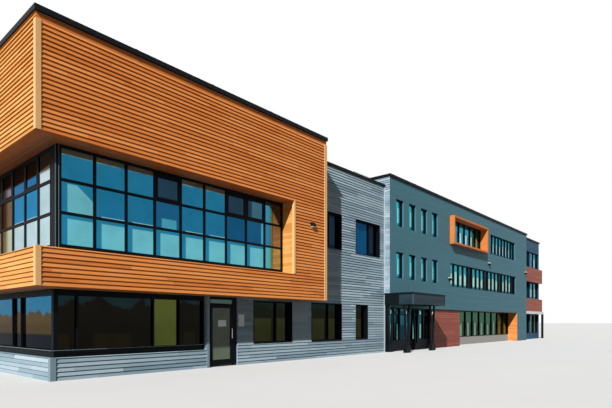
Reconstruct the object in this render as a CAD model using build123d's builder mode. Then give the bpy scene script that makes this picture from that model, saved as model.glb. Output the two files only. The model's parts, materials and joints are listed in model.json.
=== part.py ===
"""Two-and-three-storey commercial building, as a scale model at 1:2.

Every length is in millimetres of the model, so the real building measures twice as much.
X runs along the long front, Y runs into the building, and Z is up.
The origin is under the middle of the whole building, at the lowest ground level.
"""

import os
from collections import namedtuple

from build123d import *

# Lengths along the front, from the near end wall to the right end
near_length = 5880.0
link_length = 3475.0
far_length = 12845.0
end_length = 3260.0

# Depths and projections, from the plane of the grey front wall
near_depth = 6600.0
far_depth = 7200.0
timber_front_reach = 548.0
timber_end_reach = 400.0
far_front_reach = 182.0
canopy_reach = 975.0

# Walls, floors, roofs and copings
wall = 150.0
far_top = 5173.0
link_top = 4875.0
timber_top = 5122.0
coping_height = 70.0
near_coping_height = 78.0
coping_overhang = 40.0
slab_top = 30.0
far_slab_top = 300.0
far_slab_thickness = 100.0
floor_thickness = 180.0
soffit_thickness = 20.0
roof_thickness = 100.0
parapet = 150.0
joint_gap = 0.5

# Timber box: heights of its lower board band, window opening and upper board band
timber_bottom = 1390.0
lower_band = 550.0
opening_height = 1575.0
pier_width = 1090.0
lining = 20.0

# Corner ribbon window, a curtain wall of nine panes on the front and six on the end, in three rows:
# flat caps in front of the glass, mullions behind it, and back panels between the lowest mullions
ribbon_front_set_back = 340.0
ribbon_end_set_back = 385.0
ribbon_front_module = 524.0
ribbon_end_module = 555.0
ribbon_end_start = 133.0
ribbon_head = 45.0
ribbon_sill = 104.0
ribbon_post_rim = 22.0
ribbon_jamb = 54.0
ribbon_front_panes = 9
ribbon_end_panes = 6
ribbon_rows = 3
ribbon_cap = 44.0
cap_depth = 14.0
mullion_width = 26.0
mullion_depth = 50.0
corner_post_width = 57.0
corner_post_depth = 200.0
corner_post_radius = 12.0
sash_width = 32.0
sash_joint = 3.0
spandrel_gap = 6.0
spandrel_thickness = 10.0
front_sashes = (4, 7, 8)
end_sashes = (2, 4)

# Ordinary windows: how far the frame is set back, its depth, rails and bars
window_set_back = 50.0
frame_depth = 40.0
rail = 30.0
bar = 26.0
glass = 12.0

# Near window, from the side door's right edge, and link windows, from the link's left end:
# left, right, sill, head and the places of their bars
near_window_places = (448.0, 1660.0, 432.0, 1351.0, (1201.0,))
link_window_places = (
    (120.0, 1332.0, 418.0, 1365.0, (855.0,)),
    (1978.0, 2552.0, 421.0, 1370.0, ()),
    (120.0, 1328.0, 2775.0, 3700.0, (880.0,)),
    (1978.0, 3175.0, 2765.0, 3700.0, (2723.0,)),
)

# Ground-floor corner window and its low wall
base_height = 350.0
corner_window_length = 2841.0
corner_window_end_length = 3200.0
corner_window_post = 70.0
corner_window_head = 110.0
corner_window_sill = 110.0
corner_window_bars = (410.0, 1745.0, 2285.0)
corner_window_end_bars = (1400.0, 1803.0)

# Side door, hinged at its left jamb and opening outwards
door_wall = 79.0
door_left = corner_window_length + door_wall
door_width = 720.0
door_left_post = 50.0
door_right_post = 110.0
door_set_back = 20.0
door_frame_depth = 80.0
leaf_height = 1187.0
leaf_thickness = 30.0
leaf_clearance = 5.0
stile = 50.0
bottom_rail = 105.0
top_rail = 52.0
transom_bar = 33.0
transom_glass_height = 80.0
pull_length = 200.0
pull_radius = 8.0
pull_height = 560.0
pull_reach = 32.0
pull_bend = 16.0
hinge_inset = 140.0
knuckle_radius = 9.0
knuckle_length = 60.0
knuckle_plate = 4.0
knuckle_reach = 36.0

# Far wing: heights of its openings and places along its front, from its near corner
cladding_bottom = 1325.0
second_sill = 2170.0
second_head = 3005.0
third_floor = 3050.0
third_sill = 3755.0
third_head = 4570.0
slit_rows = ((2212.0, 2995.0), (3770.0, 4580.0))
slit_first = 358.0
slit_pitch = 778.0
slit_width = 438.0
slit_count = 4
ribbon_start = 4135.0
ribbon_end = 11250.0
second_ribbon_panes = 17
third_ribbon_start = 8015.0
third_ribbon_end = 11145.0
third_ribbon_panes = 8

# Timber frame round the six-pane window of the far wing
box_start = 4080.0
box_end = 7315.0
box_low = 3680.0
box_high = 4690.0
box_reach = 175.0
box_board = 65.0
box_depth = 350.0
box_panes = 6

# Ground floor of the far wing
red_wall_start = 2845.0
red_wall_end = 5045.0
red_wall_set_back = 60.0
recess_end = 11460.0
recess_depth = 417.0
recess_panes = 9
entrance_set_back = 160.0
entrance_bars = (355.0, 710.0, 1330.0, 1785.0, 2240.0)
door_transom = 1120.0

# Canopy on V columns
canopy_overlap = 40.0
canopy_width = 2040.0
canopy_bottom = 1395.0
canopy_height = 300.0
canopy_plate = 40.0
canopy_recess = 40.0
canopy_skin = 24.0
canopy_lip = 12.0
column_side = 50.0
column_spread = 280.0
column_foot = 120.0
column_plate = 12.0
column_inset_left = 210.0
column_inset_right = 250.0
column_inset_front = 325.0
column_row_pitch = 565.0
column_pier_width = 230.0
column_pier_depth = 100.0
site_rise = 205.0

# End block
end_set_back = 135.0
red_band_reach = 135.0
low_red_band = (1440.0, 2105.0)
high_red_band = (2985.0, 3715.0)
band_return = 740.0
end_window_rows = ((300.0, 1285.0), (2115.0, 3000.0), (3740.0, 4575.0))
end_window_margin = 250.0
end_window_right = 90.0
end_window_pier = 40.0
end_window_panes = 2
fascia_height = 130.0
fascia_reach = 200.0
fascia_overhang = 170.0
corner_column = 100.0

# Windows of the back and of the right end
rear_window_width = 1200.0
rear_window_height = 800.0
rear_pitch = 2000.0
rear_columns = 8
side_pitch = 2100.0
side_columns = 3
rear_rows = (480.0, 2195.0, 3770.0)
near_rear_rows = (435.0, 2195.0)
near_rear_columns = 4
timber_rear_columns = 2

# Roof plant, lamps and the plate beside the door
unit_start = 650.0
unit_length = 1250.0
unit_depth = 1000.0
unit_back = 1600.0
unit_top = 5850.0
unit_corner = 30.0
lamp_width = 120.0
lamp_depth = 80.0
lamp_height = 95.0
near_lamp = (5320.0, 3045.0)
far_lamps = ((3960.0, 2370.0), (7760.0, 3245.0), (12560.0, 3240.0))
plate_from_door = 20.0
plate_width = 150.0
plate_low = 800.0
plate_height = 250.0
plate_thickness = 28.0
plate_corner = 8.0

# Places that follow from the sizes above
overall_length = (coping_overhang + timber_end_reach + near_length + link_length
                  + far_length + end_length + fascia_overhang)
overall_depth = canopy_reach + far_depth + coping_overhang
x_near = -overall_length / 2 + coping_overhang + timber_end_reach
x_box = x_near - timber_end_reach
x_link = x_near + near_length
x_far = x_link + link_length
x_end = x_far + far_length
x_right = x_end + end_length
y_front = -overall_depth / 2 + canopy_reach
y_box = y_front - timber_front_reach
y_far = y_front - far_front_reach
y_near_back = y_front + near_depth
y_far_back = y_front + far_depth
opening_low = timber_bottom + lower_band
opening_high = opening_low + opening_height
near_wall_top = timber_bottom + soffit_thickness
near_floor_top = near_wall_top + floor_thickness
far_floor_low = cladding_bottom + soffit_thickness
x_opening_end = x_link - pier_width
y_ribbon = y_box + ribbon_front_set_back
x_ribbon = x_box + ribbon_end_set_back
y_ribbon_end = y_ribbon + ribbon_end_start + ribbon_end_panes * ribbon_end_module
ribbon_row = (opening_height - ribbon_head - ribbon_sill + ribbon_cap) / ribbon_rows
lining_back = cap_depth + glass + mullion_depth

Window = namedtuple("Window", "left right low high bars")
Rim = namedtuple("Rim", "left right head sill")
even_rim = Rim(rail, rail, rail, rail)


def front_plane(y):
    """An upright plane along the front: its x is X and its y is Z."""
    return Plane(origin=(0, y, 0), x_dir=(1, 0, 0), z_dir=(0, -1, 0))


def side_plane(x):
    """An upright plane across the building: its x is Y and its y is Z."""
    return Plane(origin=(x, 0, 0), x_dir=(0, 1, 0), z_dir=(1, 0, 0))


def area(left, right, low, high, mode=Mode.ADD):
    """Add or cut one rectangle between two corners of the sketch."""
    with Locations(((left + right) / 2, (low + high) / 2)):
        Rectangle(right - left, high - low, mode=mode)


def front_panel(y, depth, left, right, low, high, holes=()):
    """Add a panel that faces the front at y and runs back by depth."""
    with BuildSketch(front_plane(y)) as outline:
        area(left, right, low, high)
        for hole in holes:
            area(hole.left, hole.right, hole.low, hole.high, Mode.SUBTRACT)
    extrude(outline.sketch, amount=-depth)


def side_panel(x, depth, front, back, low, high, holes=()):
    """Add a panel that faces the near end at x and runs along by depth."""
    with BuildSketch(side_plane(x)) as outline:
        area(front, back, low, high)
        for hole in holes:
            area(hole.left, hole.right, hole.low, hole.high, Mode.SUBTRACT)
    extrude(outline.sketch, amount=depth)


def deck(z, thickness, left, right, front, back):
    """Add a level slab that rises from z by its thickness."""
    with BuildSketch(Plane.XY.offset(z)) as outline:
        area(left, right, front, back)
    extrude(outline.sketch, amount=thickness)


def spans(start, stop, bars, width):
    """The clear spans that bars of one width leave between two places."""
    marks = [start]
    for place in bars:
        marks.extend((place - width / 2, place + width / 2))
    marks.append(stop)
    return list(zip(marks[::2], marks[1::2]))


def even_bars(start, stop, count):
    """The bar places that split a width into equal panes."""
    return [start + (stop - start) * step / count for step in range(1, count)]


def panes(opening, rows=(), rim=even_rim, width=bar):
    """The rows of a window from the sill up, each with its clear panes from left to right."""
    columns = spans(opening.left + rim.left, opening.right - rim.right, opening.bars, width)
    heights = spans(opening.low + rim.sill, opening.high - rim.head, rows, width)
    return [[(left, right, low, high) for left, right in columns] for low, high in heights]


def frame(plane, depth, opening, clear):
    """Add a window frame, extruded by depth from the plane, with its clear panes cut out."""
    with BuildSketch(plane) as outline:
        area(opening.left, opening.right, opening.low, opening.high)
        for row in clear:
            for pane in row:
                area(*pane, Mode.SUBTRACT)
    extrude(outline.sketch, amount=depth)


def sash(plane, depth, pane):
    """Add the square frame of one opening pane, a joint clear of the bars round it."""
    left, right = pane[0] + sash_joint, pane[1] - sash_joint
    low, high = pane[2] + sash_joint, pane[3] - sash_joint
    with BuildSketch(plane) as outline:
        area(left, right, low, high)
        area(left + sash_width, right - sash_width, low + sash_width, high - sash_width,
             Mode.SUBTRACT)
    extrude(outline.sketch, amount=depth)


def sheet(plane, depth, opening):
    """Add a sheet of glass that fills an opening."""
    with BuildSketch(plane) as outline:
        area(opening.left, opening.right, opening.low, opening.high)
    extrude(outline.sketch, amount=depth)


def end_band(low, high, reach, overhang):
    """Add a band on the end block that turns its right corner and returns along its side."""
    with BuildSketch(Plane.XY.offset(low)) as outline:
        area(x_end, x_right + overhang, y_end - reach, y_end)
        area(x_right, x_right + overhang, y_end, y_end + band_return)
    extrude(outline.sketch, amount=high - low)


def rear_windows(middle, pitch, columns, rows):
    """A regular set of openings round a middle place, one row above the other."""
    found = []
    for low in rows:
        for step in range(columns):
            place = middle + (step - (columns - 1) / 2) * pitch
            found.append(Window(place - rear_window_width / 2, place + rear_window_width / 2,
                                low, low + rear_window_height, (place,)))
    return found


def save(part, name):
    """Label a finished piece and write its file."""
    part.part.label = name
    export_step(part.part, f"parts/{name}.step")


os.makedirs("parts", exist_ok=True)

# Openings that more than one piece shares
near_left, near_right, near_sill, near_head, near_bars = near_window_places
x_door_end = x_near + door_left + door_width
near_window = Window(x_door_end + near_left, x_door_end + near_right, near_sill, near_head,
                     tuple(x_door_end + place for place in near_bars))
link_windows = tuple(Window(x_link + left, x_link + right, low, high,
                            tuple(x_link + place for place in bars))
                     for left, right, low, high, bars in link_window_places)
corner_front = Window(x_near + window_set_back, x_near + corner_window_length,
                      base_height, near_wall_top,
                      tuple(x_near + place for place in corner_window_bars))
corner_front_rim = Rim(corner_window_post, rail, corner_window_head, corner_window_sill)
corner_end = Window(y_front + window_set_back + frame_depth + glass + joint_gap,
                    y_front + corner_window_end_length, base_height, near_wall_top,
                    tuple(y_front + place for place in corner_window_end_bars))
corner_end_rim = Rim(rail, rail, corner_window_head, corner_window_sill)
ribbon_front = Window(x_ribbon + corner_post_width, x_opening_end, opening_low, opening_high,
                      tuple(x_ribbon + corner_post_width + ribbon_front_module * step
                            for step in range(1, ribbon_front_panes)))
ribbon_front_rim = Rim(ribbon_post_rim, ribbon_jamb, ribbon_head, ribbon_sill)
ribbon_side = Window(y_ribbon + corner_post_depth, y_ribbon_end, opening_low, opening_high,
                     tuple(y_ribbon + ribbon_end_start + ribbon_end_module * step
                           for step in range(1, ribbon_end_panes)))
ribbon_side_rim = Rim(ribbon_post_rim, ribbon_cap, ribbon_head, ribbon_sill)
ribbon_transoms = tuple(opening_high - ribbon_head + ribbon_cap / 2 - ribbon_row * step
                        for step in range(ribbon_rows - 1, 0, -1))
slits = []
for low, high in slit_rows:
    for step in range(slit_count):
        left = x_far + slit_first + step * slit_pitch
        slits.append(Window(left, left + slit_width, low, high, ()))
second_ribbon = Window(x_far + ribbon_start, x_far + ribbon_end, second_sill, second_head,
                       tuple(even_bars(x_far + ribbon_start, x_far + ribbon_end,
                                       second_ribbon_panes)))
third_ribbon = Window(x_far + third_ribbon_start, x_far + third_ribbon_end,
                      third_sill, third_head,
                      tuple(even_bars(x_far + third_ribbon_start, x_far + third_ribbon_end,
                                      third_ribbon_panes)))
box_window = Window(x_far + box_start + box_board, x_far + box_end - box_board,
                    box_low + box_board, box_high - box_board,
                    tuple(even_bars(x_far + box_start + box_board,
                                    x_far + box_end - box_board, box_panes)))
end_windows = []
end_window_width = (end_length - end_window_margin - end_window_right - end_window_pier) / 2
for low, high in end_window_rows:
    for step in range(2):
        left = x_end + end_window_margin + step * (end_window_width + end_window_pier)
        end_windows.append(Window(left, left + end_window_width, low, high,
                                  tuple(even_bars(left, left + end_window_width,
                                                  end_window_panes))))
y_recess = y_far + recess_depth
y_entrance = y_far + entrance_set_back
y_red = y_far + red_wall_set_back
y_end = y_front + end_set_back
x_canopy = x_far - canopy_overlap
y_canopy = y_front - canopy_reach
column_places = (x_canopy + column_inset_left, x_canopy + canopy_width - column_inset_right)
y_front_columns = y_canopy + column_inset_front
y_back_columns = y_front_columns + column_row_pitch
recess_window = Window(x_far + red_wall_end, x_far + recess_end, far_slab_top, cladding_bottom,
                       tuple(even_bars(x_far + red_wall_end, x_far + recess_end, recess_panes)))
entrance_window = Window(x_far + wall, x_far + red_wall_start, far_slab_top, cladding_bottom,
                         tuple(x_far + wall + place for place in entrance_bars))
far_rear = rear_windows((x_far + x_right) / 2, rear_pitch, rear_columns, rear_rows)
side_windows = rear_windows((y_front + y_far_back) / 2, side_pitch, side_columns, rear_rows)
near_rear = rear_windows((x_near + x_far) / 2, rear_pitch, near_rear_columns,
                         near_rear_rows[:1])
link_rear = rear_windows((x_link + x_far) / 2, rear_pitch, 1, near_rear_rows[1:])
timber_rear = rear_windows((x_box + x_link) / 2, rear_pitch, timber_rear_columns,
                           near_rear_rows[1:])

# Ground slabs, edge footings and the piers under the canopy columns
with BuildPart() as foundations:
    deck(0, slab_top, x_near + wall, x_far, y_front + wall, y_near_back - wall)
    with BuildSketch(Plane.XY.offset(far_slab_top - far_slab_thickness)):
        area(x_far + wall, x_far + red_wall_start, y_entrance, y_far_back - wall)
        area(x_far + red_wall_start, x_far + red_wall_end - wall, y_entrance + wall,
             y_far_back - wall)
        area(x_far + red_wall_start + wall, x_far + red_wall_end - wall, y_red + wall,
             y_entrance + wall)
        area(x_far + red_wall_end - wall, x_far + red_wall_end, y_recess + wall,
             y_far_back - wall)
        area(x_far + red_wall_end, x_far + recess_end, y_recess, y_far_back - wall)
        area(x_far + recess_end, x_end - wall, y_recess + wall, y_far_back - wall)
        area(x_end - wall, x_right - wall, y_end + wall, y_far_back - wall)
    extrude(amount=far_slab_thickness)
    footing_height = far_slab_top - far_slab_thickness - joint_gap
    deck(0, footing_height, x_far + wall, x_far + red_wall_start, y_entrance, y_entrance + wall)
    deck(0, footing_height, x_far + red_wall_end, x_far + recess_end, y_recess, y_recess + wall)
    with BuildSketch(Plane.XY):
        for x in column_places:
            for y in (y_front_columns, y_back_columns):
                with Locations((x, y)):
                    Rectangle(column_pier_width, column_pier_depth)
    extrude(amount=site_rise)
save(foundations, "foundations")

# Grey ground-floor walls of the near wing
with BuildPart() as near_front_base:
    front_panel(y_front, wall, x_near, x_near + corner_window_length, 0, base_height)
    front_panel(y_front, wall, x_near + corner_window_length, x_near + door_left,
                0, near_wall_top)
save(near_front_base, "near_front_base")

with BuildPart() as near_front_wall:
    front_panel(y_front, wall, x_door_end, x_link, 0, near_wall_top,
                (near_window,))
save(near_front_wall, "near_front_wall")

with BuildPart() as near_end_wall:
    side_panel(x_near, wall, y_front + wall, y_front + corner_window_end_length,
               0, base_height)
    side_panel(x_near, wall, y_front + corner_window_end_length, y_near_back,
               0, near_wall_top)
save(near_end_wall, "near_end_wall")

with BuildPart() as near_back_wall:
    front_panel(y_near_back - wall, wall, x_near + wall, x_far, 0, near_wall_top, near_rear)
    front_panel(y_near_back - wall, wall, x_link, x_far, near_wall_top, link_top, link_rear)
save(near_back_wall, "near_back_wall")

with BuildPart() as link_front_wall:
    front_panel(y_front, wall, x_link, x_far, 0, link_top, link_windows)
save(link_front_wall, "link_front_wall")

# Timber-clad box of the upper storey
with BuildPart() as timber_front:
    front_panel(y_box, wall, x_box, x_link, timber_bottom, opening_low)
    front_panel(y_box, wall, x_box, x_link, opening_high, timber_top)
save(timber_front, "timber_front")

with BuildPart() as timber_end:
    side_panel(x_box, wall, y_box + wall, y_near_back, timber_bottom, opening_low)
    side_panel(x_box, wall, y_box + wall, y_near_back, opening_high, timber_top)
save(timber_end, "timber_end")

with BuildPart() as timber_piers:
    front_panel(y_box, wall, x_opening_end, x_link, opening_low, opening_high)
    side_panel(x_box, wall, y_ribbon_end, y_near_back, opening_low, opening_high)
save(timber_piers, "timber_piers")

with BuildPart() as timber_back:
    front_panel(y_near_back - wall, wall, x_box + wall, x_link, near_wall_top, timber_top,
                timber_rear)
save(timber_back, "timber_back")

with BuildPart() as timber_side_wall:
    side_panel(x_link - wall, wall, y_box + wall, y_front, timber_bottom, timber_top)
    side_panel(x_link - wall, wall, y_front, y_near_back - wall,
               link_top - parapet - roof_thickness, timber_top)
save(timber_side_wall, "timber_side_wall")

# Soffits under the timber box and over the entrance and the far recess
with BuildPart() as soffits:
    deck(timber_bottom, soffit_thickness, x_box + wall, x_link - wall, y_box + wall, y_front)
    deck(timber_bottom, soffit_thickness, x_box + wall, x_near,
         y_front + joint_gap, y_near_back - wall)
    deck(cladding_bottom, soffit_thickness, x_far + wall, x_far + red_wall_start,
         y_far + wall, y_entrance + wall)
    deck(cladding_bottom, soffit_thickness, x_far + red_wall_end, x_far + recess_end,
         y_far + wall, y_recess + wall)
save(soffits, "soffits")

# Boards that line the corner opening from the cladding back past the window
with BuildPart() as opening_lining:
    for low in (opening_low - lining, opening_high):
        deck(low, lining, x_box + wall, x_opening_end + lining, y_box + wall,
             y_ribbon + lining_back)
        deck(low, lining, x_box + wall, x_ribbon + lining_back,
             y_ribbon + lining_back + joint_gap, y_ribbon_end + lining)
    side_panel(x_opening_end, lining, y_box + wall, y_ribbon + lining_back,
               opening_low + joint_gap, opening_high - joint_gap)
    front_panel(y_ribbon_end, lining, x_box + wall, x_ribbon + lining_back,
                opening_low + joint_gap, opening_high - joint_gap)
save(opening_lining, "opening_lining")

# Ribbon window that turns the corner: caps with the corner post, glass, mullions, sashes
# and back panels
front_panes = panes(ribbon_front, ribbon_transoms, ribbon_front_rim, ribbon_cap)
side_panes = panes(ribbon_side, ribbon_transoms, ribbon_side_rim, ribbon_cap)
with BuildPart() as ribbon_frame:
    frame(front_plane(y_ribbon), -cap_depth, ribbon_front, front_panes)
    deck(opening_low, opening_height, x_ribbon, x_ribbon + corner_post_width,
         y_ribbon, y_ribbon + corner_post_depth - joint_gap)
    post_edges = edges().filter_by(Axis.Z).filter_by_position(Axis.X, x_ribbon, x_ribbon + 1)
    fillet(post_edges, corner_post_radius)
    frame(side_plane(x_ribbon), cap_depth, ribbon_side, side_panes)
save(ribbon_frame, "ribbon_frame")

with BuildPart() as ribbon_glass:
    sheet(front_plane(y_ribbon + cap_depth), -glass, ribbon_front)
    sheet(side_plane(x_ribbon + cap_depth), glass, ribbon_side)
save(ribbon_glass, "ribbon_glass")

y_mullion = y_ribbon + cap_depth + glass
x_mullion = x_ribbon + cap_depth + glass
front_bays = panes(ribbon_front, ribbon_transoms, ribbon_front_rim, mullion_width)
side_bays = panes(ribbon_side, ribbon_transoms, ribbon_side_rim, mullion_width)
with BuildPart() as ribbon_mullions:
    frame(front_plane(y_mullion), -mullion_depth, ribbon_front, front_bays)
    frame(side_plane(x_mullion), mullion_depth, ribbon_side, side_bays)
save(ribbon_mullions, "ribbon_mullions")

# Opening sashes of the top row, counted from the corner post
with BuildPart() as ribbon_sashes:
    for number in front_sashes:
        sash(front_plane(y_ribbon + cap_depth), cap_depth, front_panes[-1][number - 1])
    for number in end_sashes:
        sash(side_plane(x_ribbon + cap_depth), -cap_depth, side_panes[-1][number - 1])
save(ribbon_sashes, "ribbon_sashes")

# One back panel in each bay of the lowest row
with BuildPart() as ribbon_spandrels:
    for left, right, low, high in front_bays[0]:
        front_panel(y_mullion + spandrel_gap, spandrel_thickness, left, right, low, high)
    for front, back, low, high in side_bays[0]:
        side_panel(x_mullion + spandrel_gap, spandrel_thickness, front, back, low, high)
save(ribbon_spandrels, "ribbon_spandrels")

# Window frames and glass of the near wing and the link
y_frame = y_front + window_set_back
with BuildPart() as near_window_frames:
    for window in (near_window,) + link_windows:
        frame(front_plane(y_frame), -frame_depth, window, panes(window))
    frame(front_plane(y_frame), -frame_depth, corner_front,
          panes(corner_front, rim=corner_front_rim))
    frame(side_plane(x_near + window_set_back), frame_depth, corner_end,
          panes(corner_end, rim=corner_end_rim))
    for window in near_rear + link_rear + timber_rear:
        frame(front_plane(y_near_back - window_set_back), frame_depth, window, panes(window))
save(near_window_frames, "near_window_frames")

with BuildPart() as near_window_glass:
    for window in (near_window, corner_front) + link_windows:
        sheet(front_plane(y_frame + frame_depth), -glass, window)
    sheet(side_plane(x_near + window_set_back + frame_depth), glass, corner_end)
    for window in near_rear + link_rear + timber_rear:
        sheet(front_plane(y_near_back - window_set_back - frame_depth), glass, window)
save(near_window_glass, "near_window_glass")

# Side door: frame with its transom light, then the leaf with its glass and pull
x_door = x_near + door_left
x_leaf = x_door + door_left_post + leaf_clearance
x_leaf_end = x_door_end - door_right_post - leaf_clearance
y_door = y_front + door_set_back
z_leaf = slab_top + leaf_clearance
z_leaf_top = z_leaf + leaf_height
z_transom = z_leaf_top + leaf_clearance
z_light = z_transom + transom_bar
x_hinge = x_leaf - leaf_clearance / 2
y_hinge = y_door - knuckle_radius
hinge_heights = (z_leaf + hinge_inset, (z_leaf + z_leaf_top) / 2, z_leaf_top - hinge_inset)
with BuildPart() as side_door_frame:
    with BuildSketch(front_plane(y_door)):
        area(x_door, x_door_end, slab_top, near_wall_top)
        area(x_leaf - leaf_clearance, x_leaf_end + leaf_clearance, slab_top, z_transom,
             Mode.SUBTRACT)
        area(x_leaf - leaf_clearance, x_leaf_end + leaf_clearance, z_light,
             z_light + transom_glass_height, Mode.SUBTRACT)
    extrude(amount=-door_frame_depth)
    for height in hinge_heights:
        deck(height, knuckle_length, x_hinge - knuckle_reach, x_hinge,
             y_door - knuckle_plate, y_door)
        with BuildSketch(Plane.XY.offset(height)):
            with Locations((x_hinge, y_hinge)):
                Circle(knuckle_radius)
        extrude(amount=knuckle_length)
save(side_door_frame, "side_door_frame")

with BuildPart() as side_door_leaf:
    with BuildSketch(front_plane(y_door)):
        area(x_leaf, x_leaf_end, z_leaf, z_leaf_top)
        area(x_leaf + stile, x_leaf_end - stile, z_leaf + bottom_rail, z_leaf_top - top_rail,
             Mode.SUBTRACT)
    extrude(amount=-leaf_thickness)
    for height in hinge_heights:
        deck(height - knuckle_length - joint_gap, knuckle_length, x_hinge,
             x_hinge + knuckle_reach, y_door - knuckle_plate, y_door)
        with BuildSketch(Plane.XY.offset(height - knuckle_length - joint_gap)):
            with Locations((x_hinge, y_hinge)):
                Circle(knuckle_radius)
        extrude(amount=knuckle_length)
save(side_door_leaf, "side_door_leaf")

with BuildPart() as side_door_glass:
    front_panel(y_door + (leaf_thickness - glass) / 2, glass, x_leaf + stile,
                x_leaf_end - stile, z_leaf + bottom_rail, z_leaf_top - top_rail)
save(side_door_glass, "side_door_glass")

with BuildPart() as side_door_pull:
    x_pull = x_leaf_end - stile / 2
    with BuildLine() as pull_line:
        FilletPolyline((x_pull, y_door, pull_height),
                       (x_pull, y_door - pull_reach, pull_height),
                       (x_pull, y_door - pull_reach, pull_height + pull_length),
                       (x_pull, y_door, pull_height + pull_length), radius=pull_bend)
    with BuildSketch(front_plane(y_door)):
        with Locations((x_pull, pull_height)):
            Circle(pull_radius)
    sweep()
save(side_door_pull, "side_door_pull")

# Floors and roofs
with BuildPart() as upper_floors:
    deck(near_wall_top, floor_thickness, x_box + wall, x_link - wall,
         y_box + wall, y_near_back - wall)
    deck(near_wall_top, floor_thickness, x_link - wall + joint_gap, x_far,
         y_front + wall, y_near_back - wall)
    for low in (far_floor_low, third_floor):
        with BuildSketch(Plane.XY.offset(low)):
            area(x_far + wall, x_end - wall, y_far + wall, y_far_back - wall)
            area(x_end - wall, x_right - wall, y_end + wall, y_far_back - wall)
        extrude(amount=floor_thickness)
save(upper_floors, "upper_floors")

with BuildPart() as roofs:
    deck(timber_top - parapet - roof_thickness, roof_thickness, x_box + wall, x_link - wall,
         y_box + wall, y_near_back - wall)
    deck(link_top - parapet - roof_thickness, roof_thickness, x_link, x_far,
         y_front + wall, y_near_back - wall)
    with BuildSketch(Plane.XY.offset(far_top - parapet - roof_thickness)):
        area(x_far + wall, x_end - wall, y_far + wall, y_far_back - wall)
        area(x_end - wall, x_right - wall, y_end + wall, y_far_back - wall)
    extrude(amount=roof_thickness)
save(roofs, "roofs")

# Metal copings: lengths along the building, then lengths across it
cap = wall + 2 * coping_overhang
with BuildPart() as long_copings:
    for y in (y_box, y_near_back - wall):
        deck(timber_top, near_coping_height, x_box - coping_overhang, x_link + coping_overhang,
             y - coping_overhang, y - coping_overhang + cap)
    for y in (y_front, y_near_back - wall):
        deck(link_top, coping_height, x_link, x_far, y - coping_overhang,
             y - coping_overhang + cap)
    deck(far_top, coping_height, x_far - coping_overhang, x_end + coping_overhang,
         y_far - coping_overhang, y_far - coping_overhang + cap)
    deck(far_top, coping_height, x_end + coping_overhang + joint_gap,
         x_right + coping_overhang, y_end - coping_overhang, y_end - coping_overhang + cap)
    deck(far_top, coping_height, x_far - coping_overhang, x_right + coping_overhang,
         y_far_back - wall - coping_overhang, y_far_back + coping_overhang)
save(long_copings, "long_copings")

with BuildPart() as cross_copings:
    for x in (x_box, x_link - wall):
        deck(timber_top, near_coping_height, x - coping_overhang, x - coping_overhang + cap,
             y_box - coping_overhang + cap, y_near_back - wall - coping_overhang)
    deck(far_top, coping_height, x_far - coping_overhang, x_far - coping_overhang + cap,
         y_far - coping_overhang + cap, y_far_back - wall - coping_overhang)
    deck(far_top, coping_height, x_right + coping_overhang - cap, x_right + coping_overhang,
         y_end - coping_overhang + cap, y_far_back - wall - coping_overhang)
save(cross_copings, "cross_copings")

# Far wing: slate-grey walls above the recessed ground floor
with BuildPart() as far_near_wall:
    side_panel(x_far, wall, y_far + wall, y_far_back - wall, 0, far_top)
save(far_near_wall, "far_near_wall")

with BuildPart() as far_wall_left:
    front_panel(y_far, wall, x_far, x_far + ribbon_start, cladding_bottom, far_top, slits)
    with BuildSketch(front_plane(y_far)):
        area(x_far + box_start, x_far + ribbon_start, box_low, box_high)
    extrude(amount=-wall, mode=Mode.SUBTRACT)
save(far_wall_left, "far_wall_left")

with BuildPart() as far_bands:
    front_panel(y_far, wall, x_far + ribbon_start, x_far + ribbon_end,
                cladding_bottom, second_sill)
    front_panel(y_far, wall, x_far + ribbon_start, x_far + box_end, second_head, box_low)
    front_panel(y_far, wall, x_far + box_end, x_far + ribbon_end, second_head, third_sill)
    front_panel(y_far, wall, x_far + ribbon_start, x_far + box_end, box_high, far_top)
    front_panel(y_far, wall, x_far + box_end, x_far + ribbon_end, third_head, far_top)
save(far_bands, "far_bands")

with BuildPart() as far_wall_pier:
    front_panel(y_far, wall, x_far + box_end, x_far + third_ribbon_start,
                third_sill, third_head)
save(far_wall_pier, "far_wall_pier")

with BuildPart() as far_wall_right:
    front_panel(y_far, wall, x_far + ribbon_end, x_end, cladding_bottom, far_top)
    front_panel(y_far, wall, x_far + third_ribbon_end, x_far + ribbon_end,
                third_sill, third_head)
    front_panel(y_far, wall, x_far + recess_end, x_end, 0, cladding_bottom)
    side_panel(x_far + recess_end, wall, y_far + wall, y_recess + wall, 0, cladding_bottom)
    side_panel(x_end - wall, wall, y_far + wall, y_end + wall, 0, far_top)
save(far_wall_right, "far_wall_right")

with BuildPart() as far_back_wall:
    front_panel(y_far_back - wall, wall, x_far, x_right, 0, far_top, far_rear)
save(far_back_wall, "far_back_wall")

# Red-brown wall beside the entrance, turned back at both ends
with BuildPart() as red_wall:
    with BuildSketch(Plane.XY):
        area(x_far + red_wall_start, x_far + red_wall_end, y_red, y_red + wall)
        area(x_far + red_wall_start, x_far + red_wall_start + wall, y_red, y_entrance + wall)
        area(x_far + red_wall_end - wall, x_far + red_wall_end, y_red, y_recess + wall)
    extrude(amount=cladding_bottom)
save(red_wall, "red_wall")

# Timber frame that stands out round the six-pane window
with BuildPart() as timber_window_box:
    y_window_box = y_far - box_reach
    for low in (box_low, box_high - box_board):
        deck(low, box_board, x_far + box_start, x_far + box_end, y_window_box,
             y_window_box + box_depth)
    for x in (x_far + box_start, x_far + box_end - box_board):
        side_panel(x, box_board, y_window_box, y_window_box + box_depth,
                   box_low + box_board + joint_gap, box_high - box_board - joint_gap)
save(timber_window_box, "timber_window_box")

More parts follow.
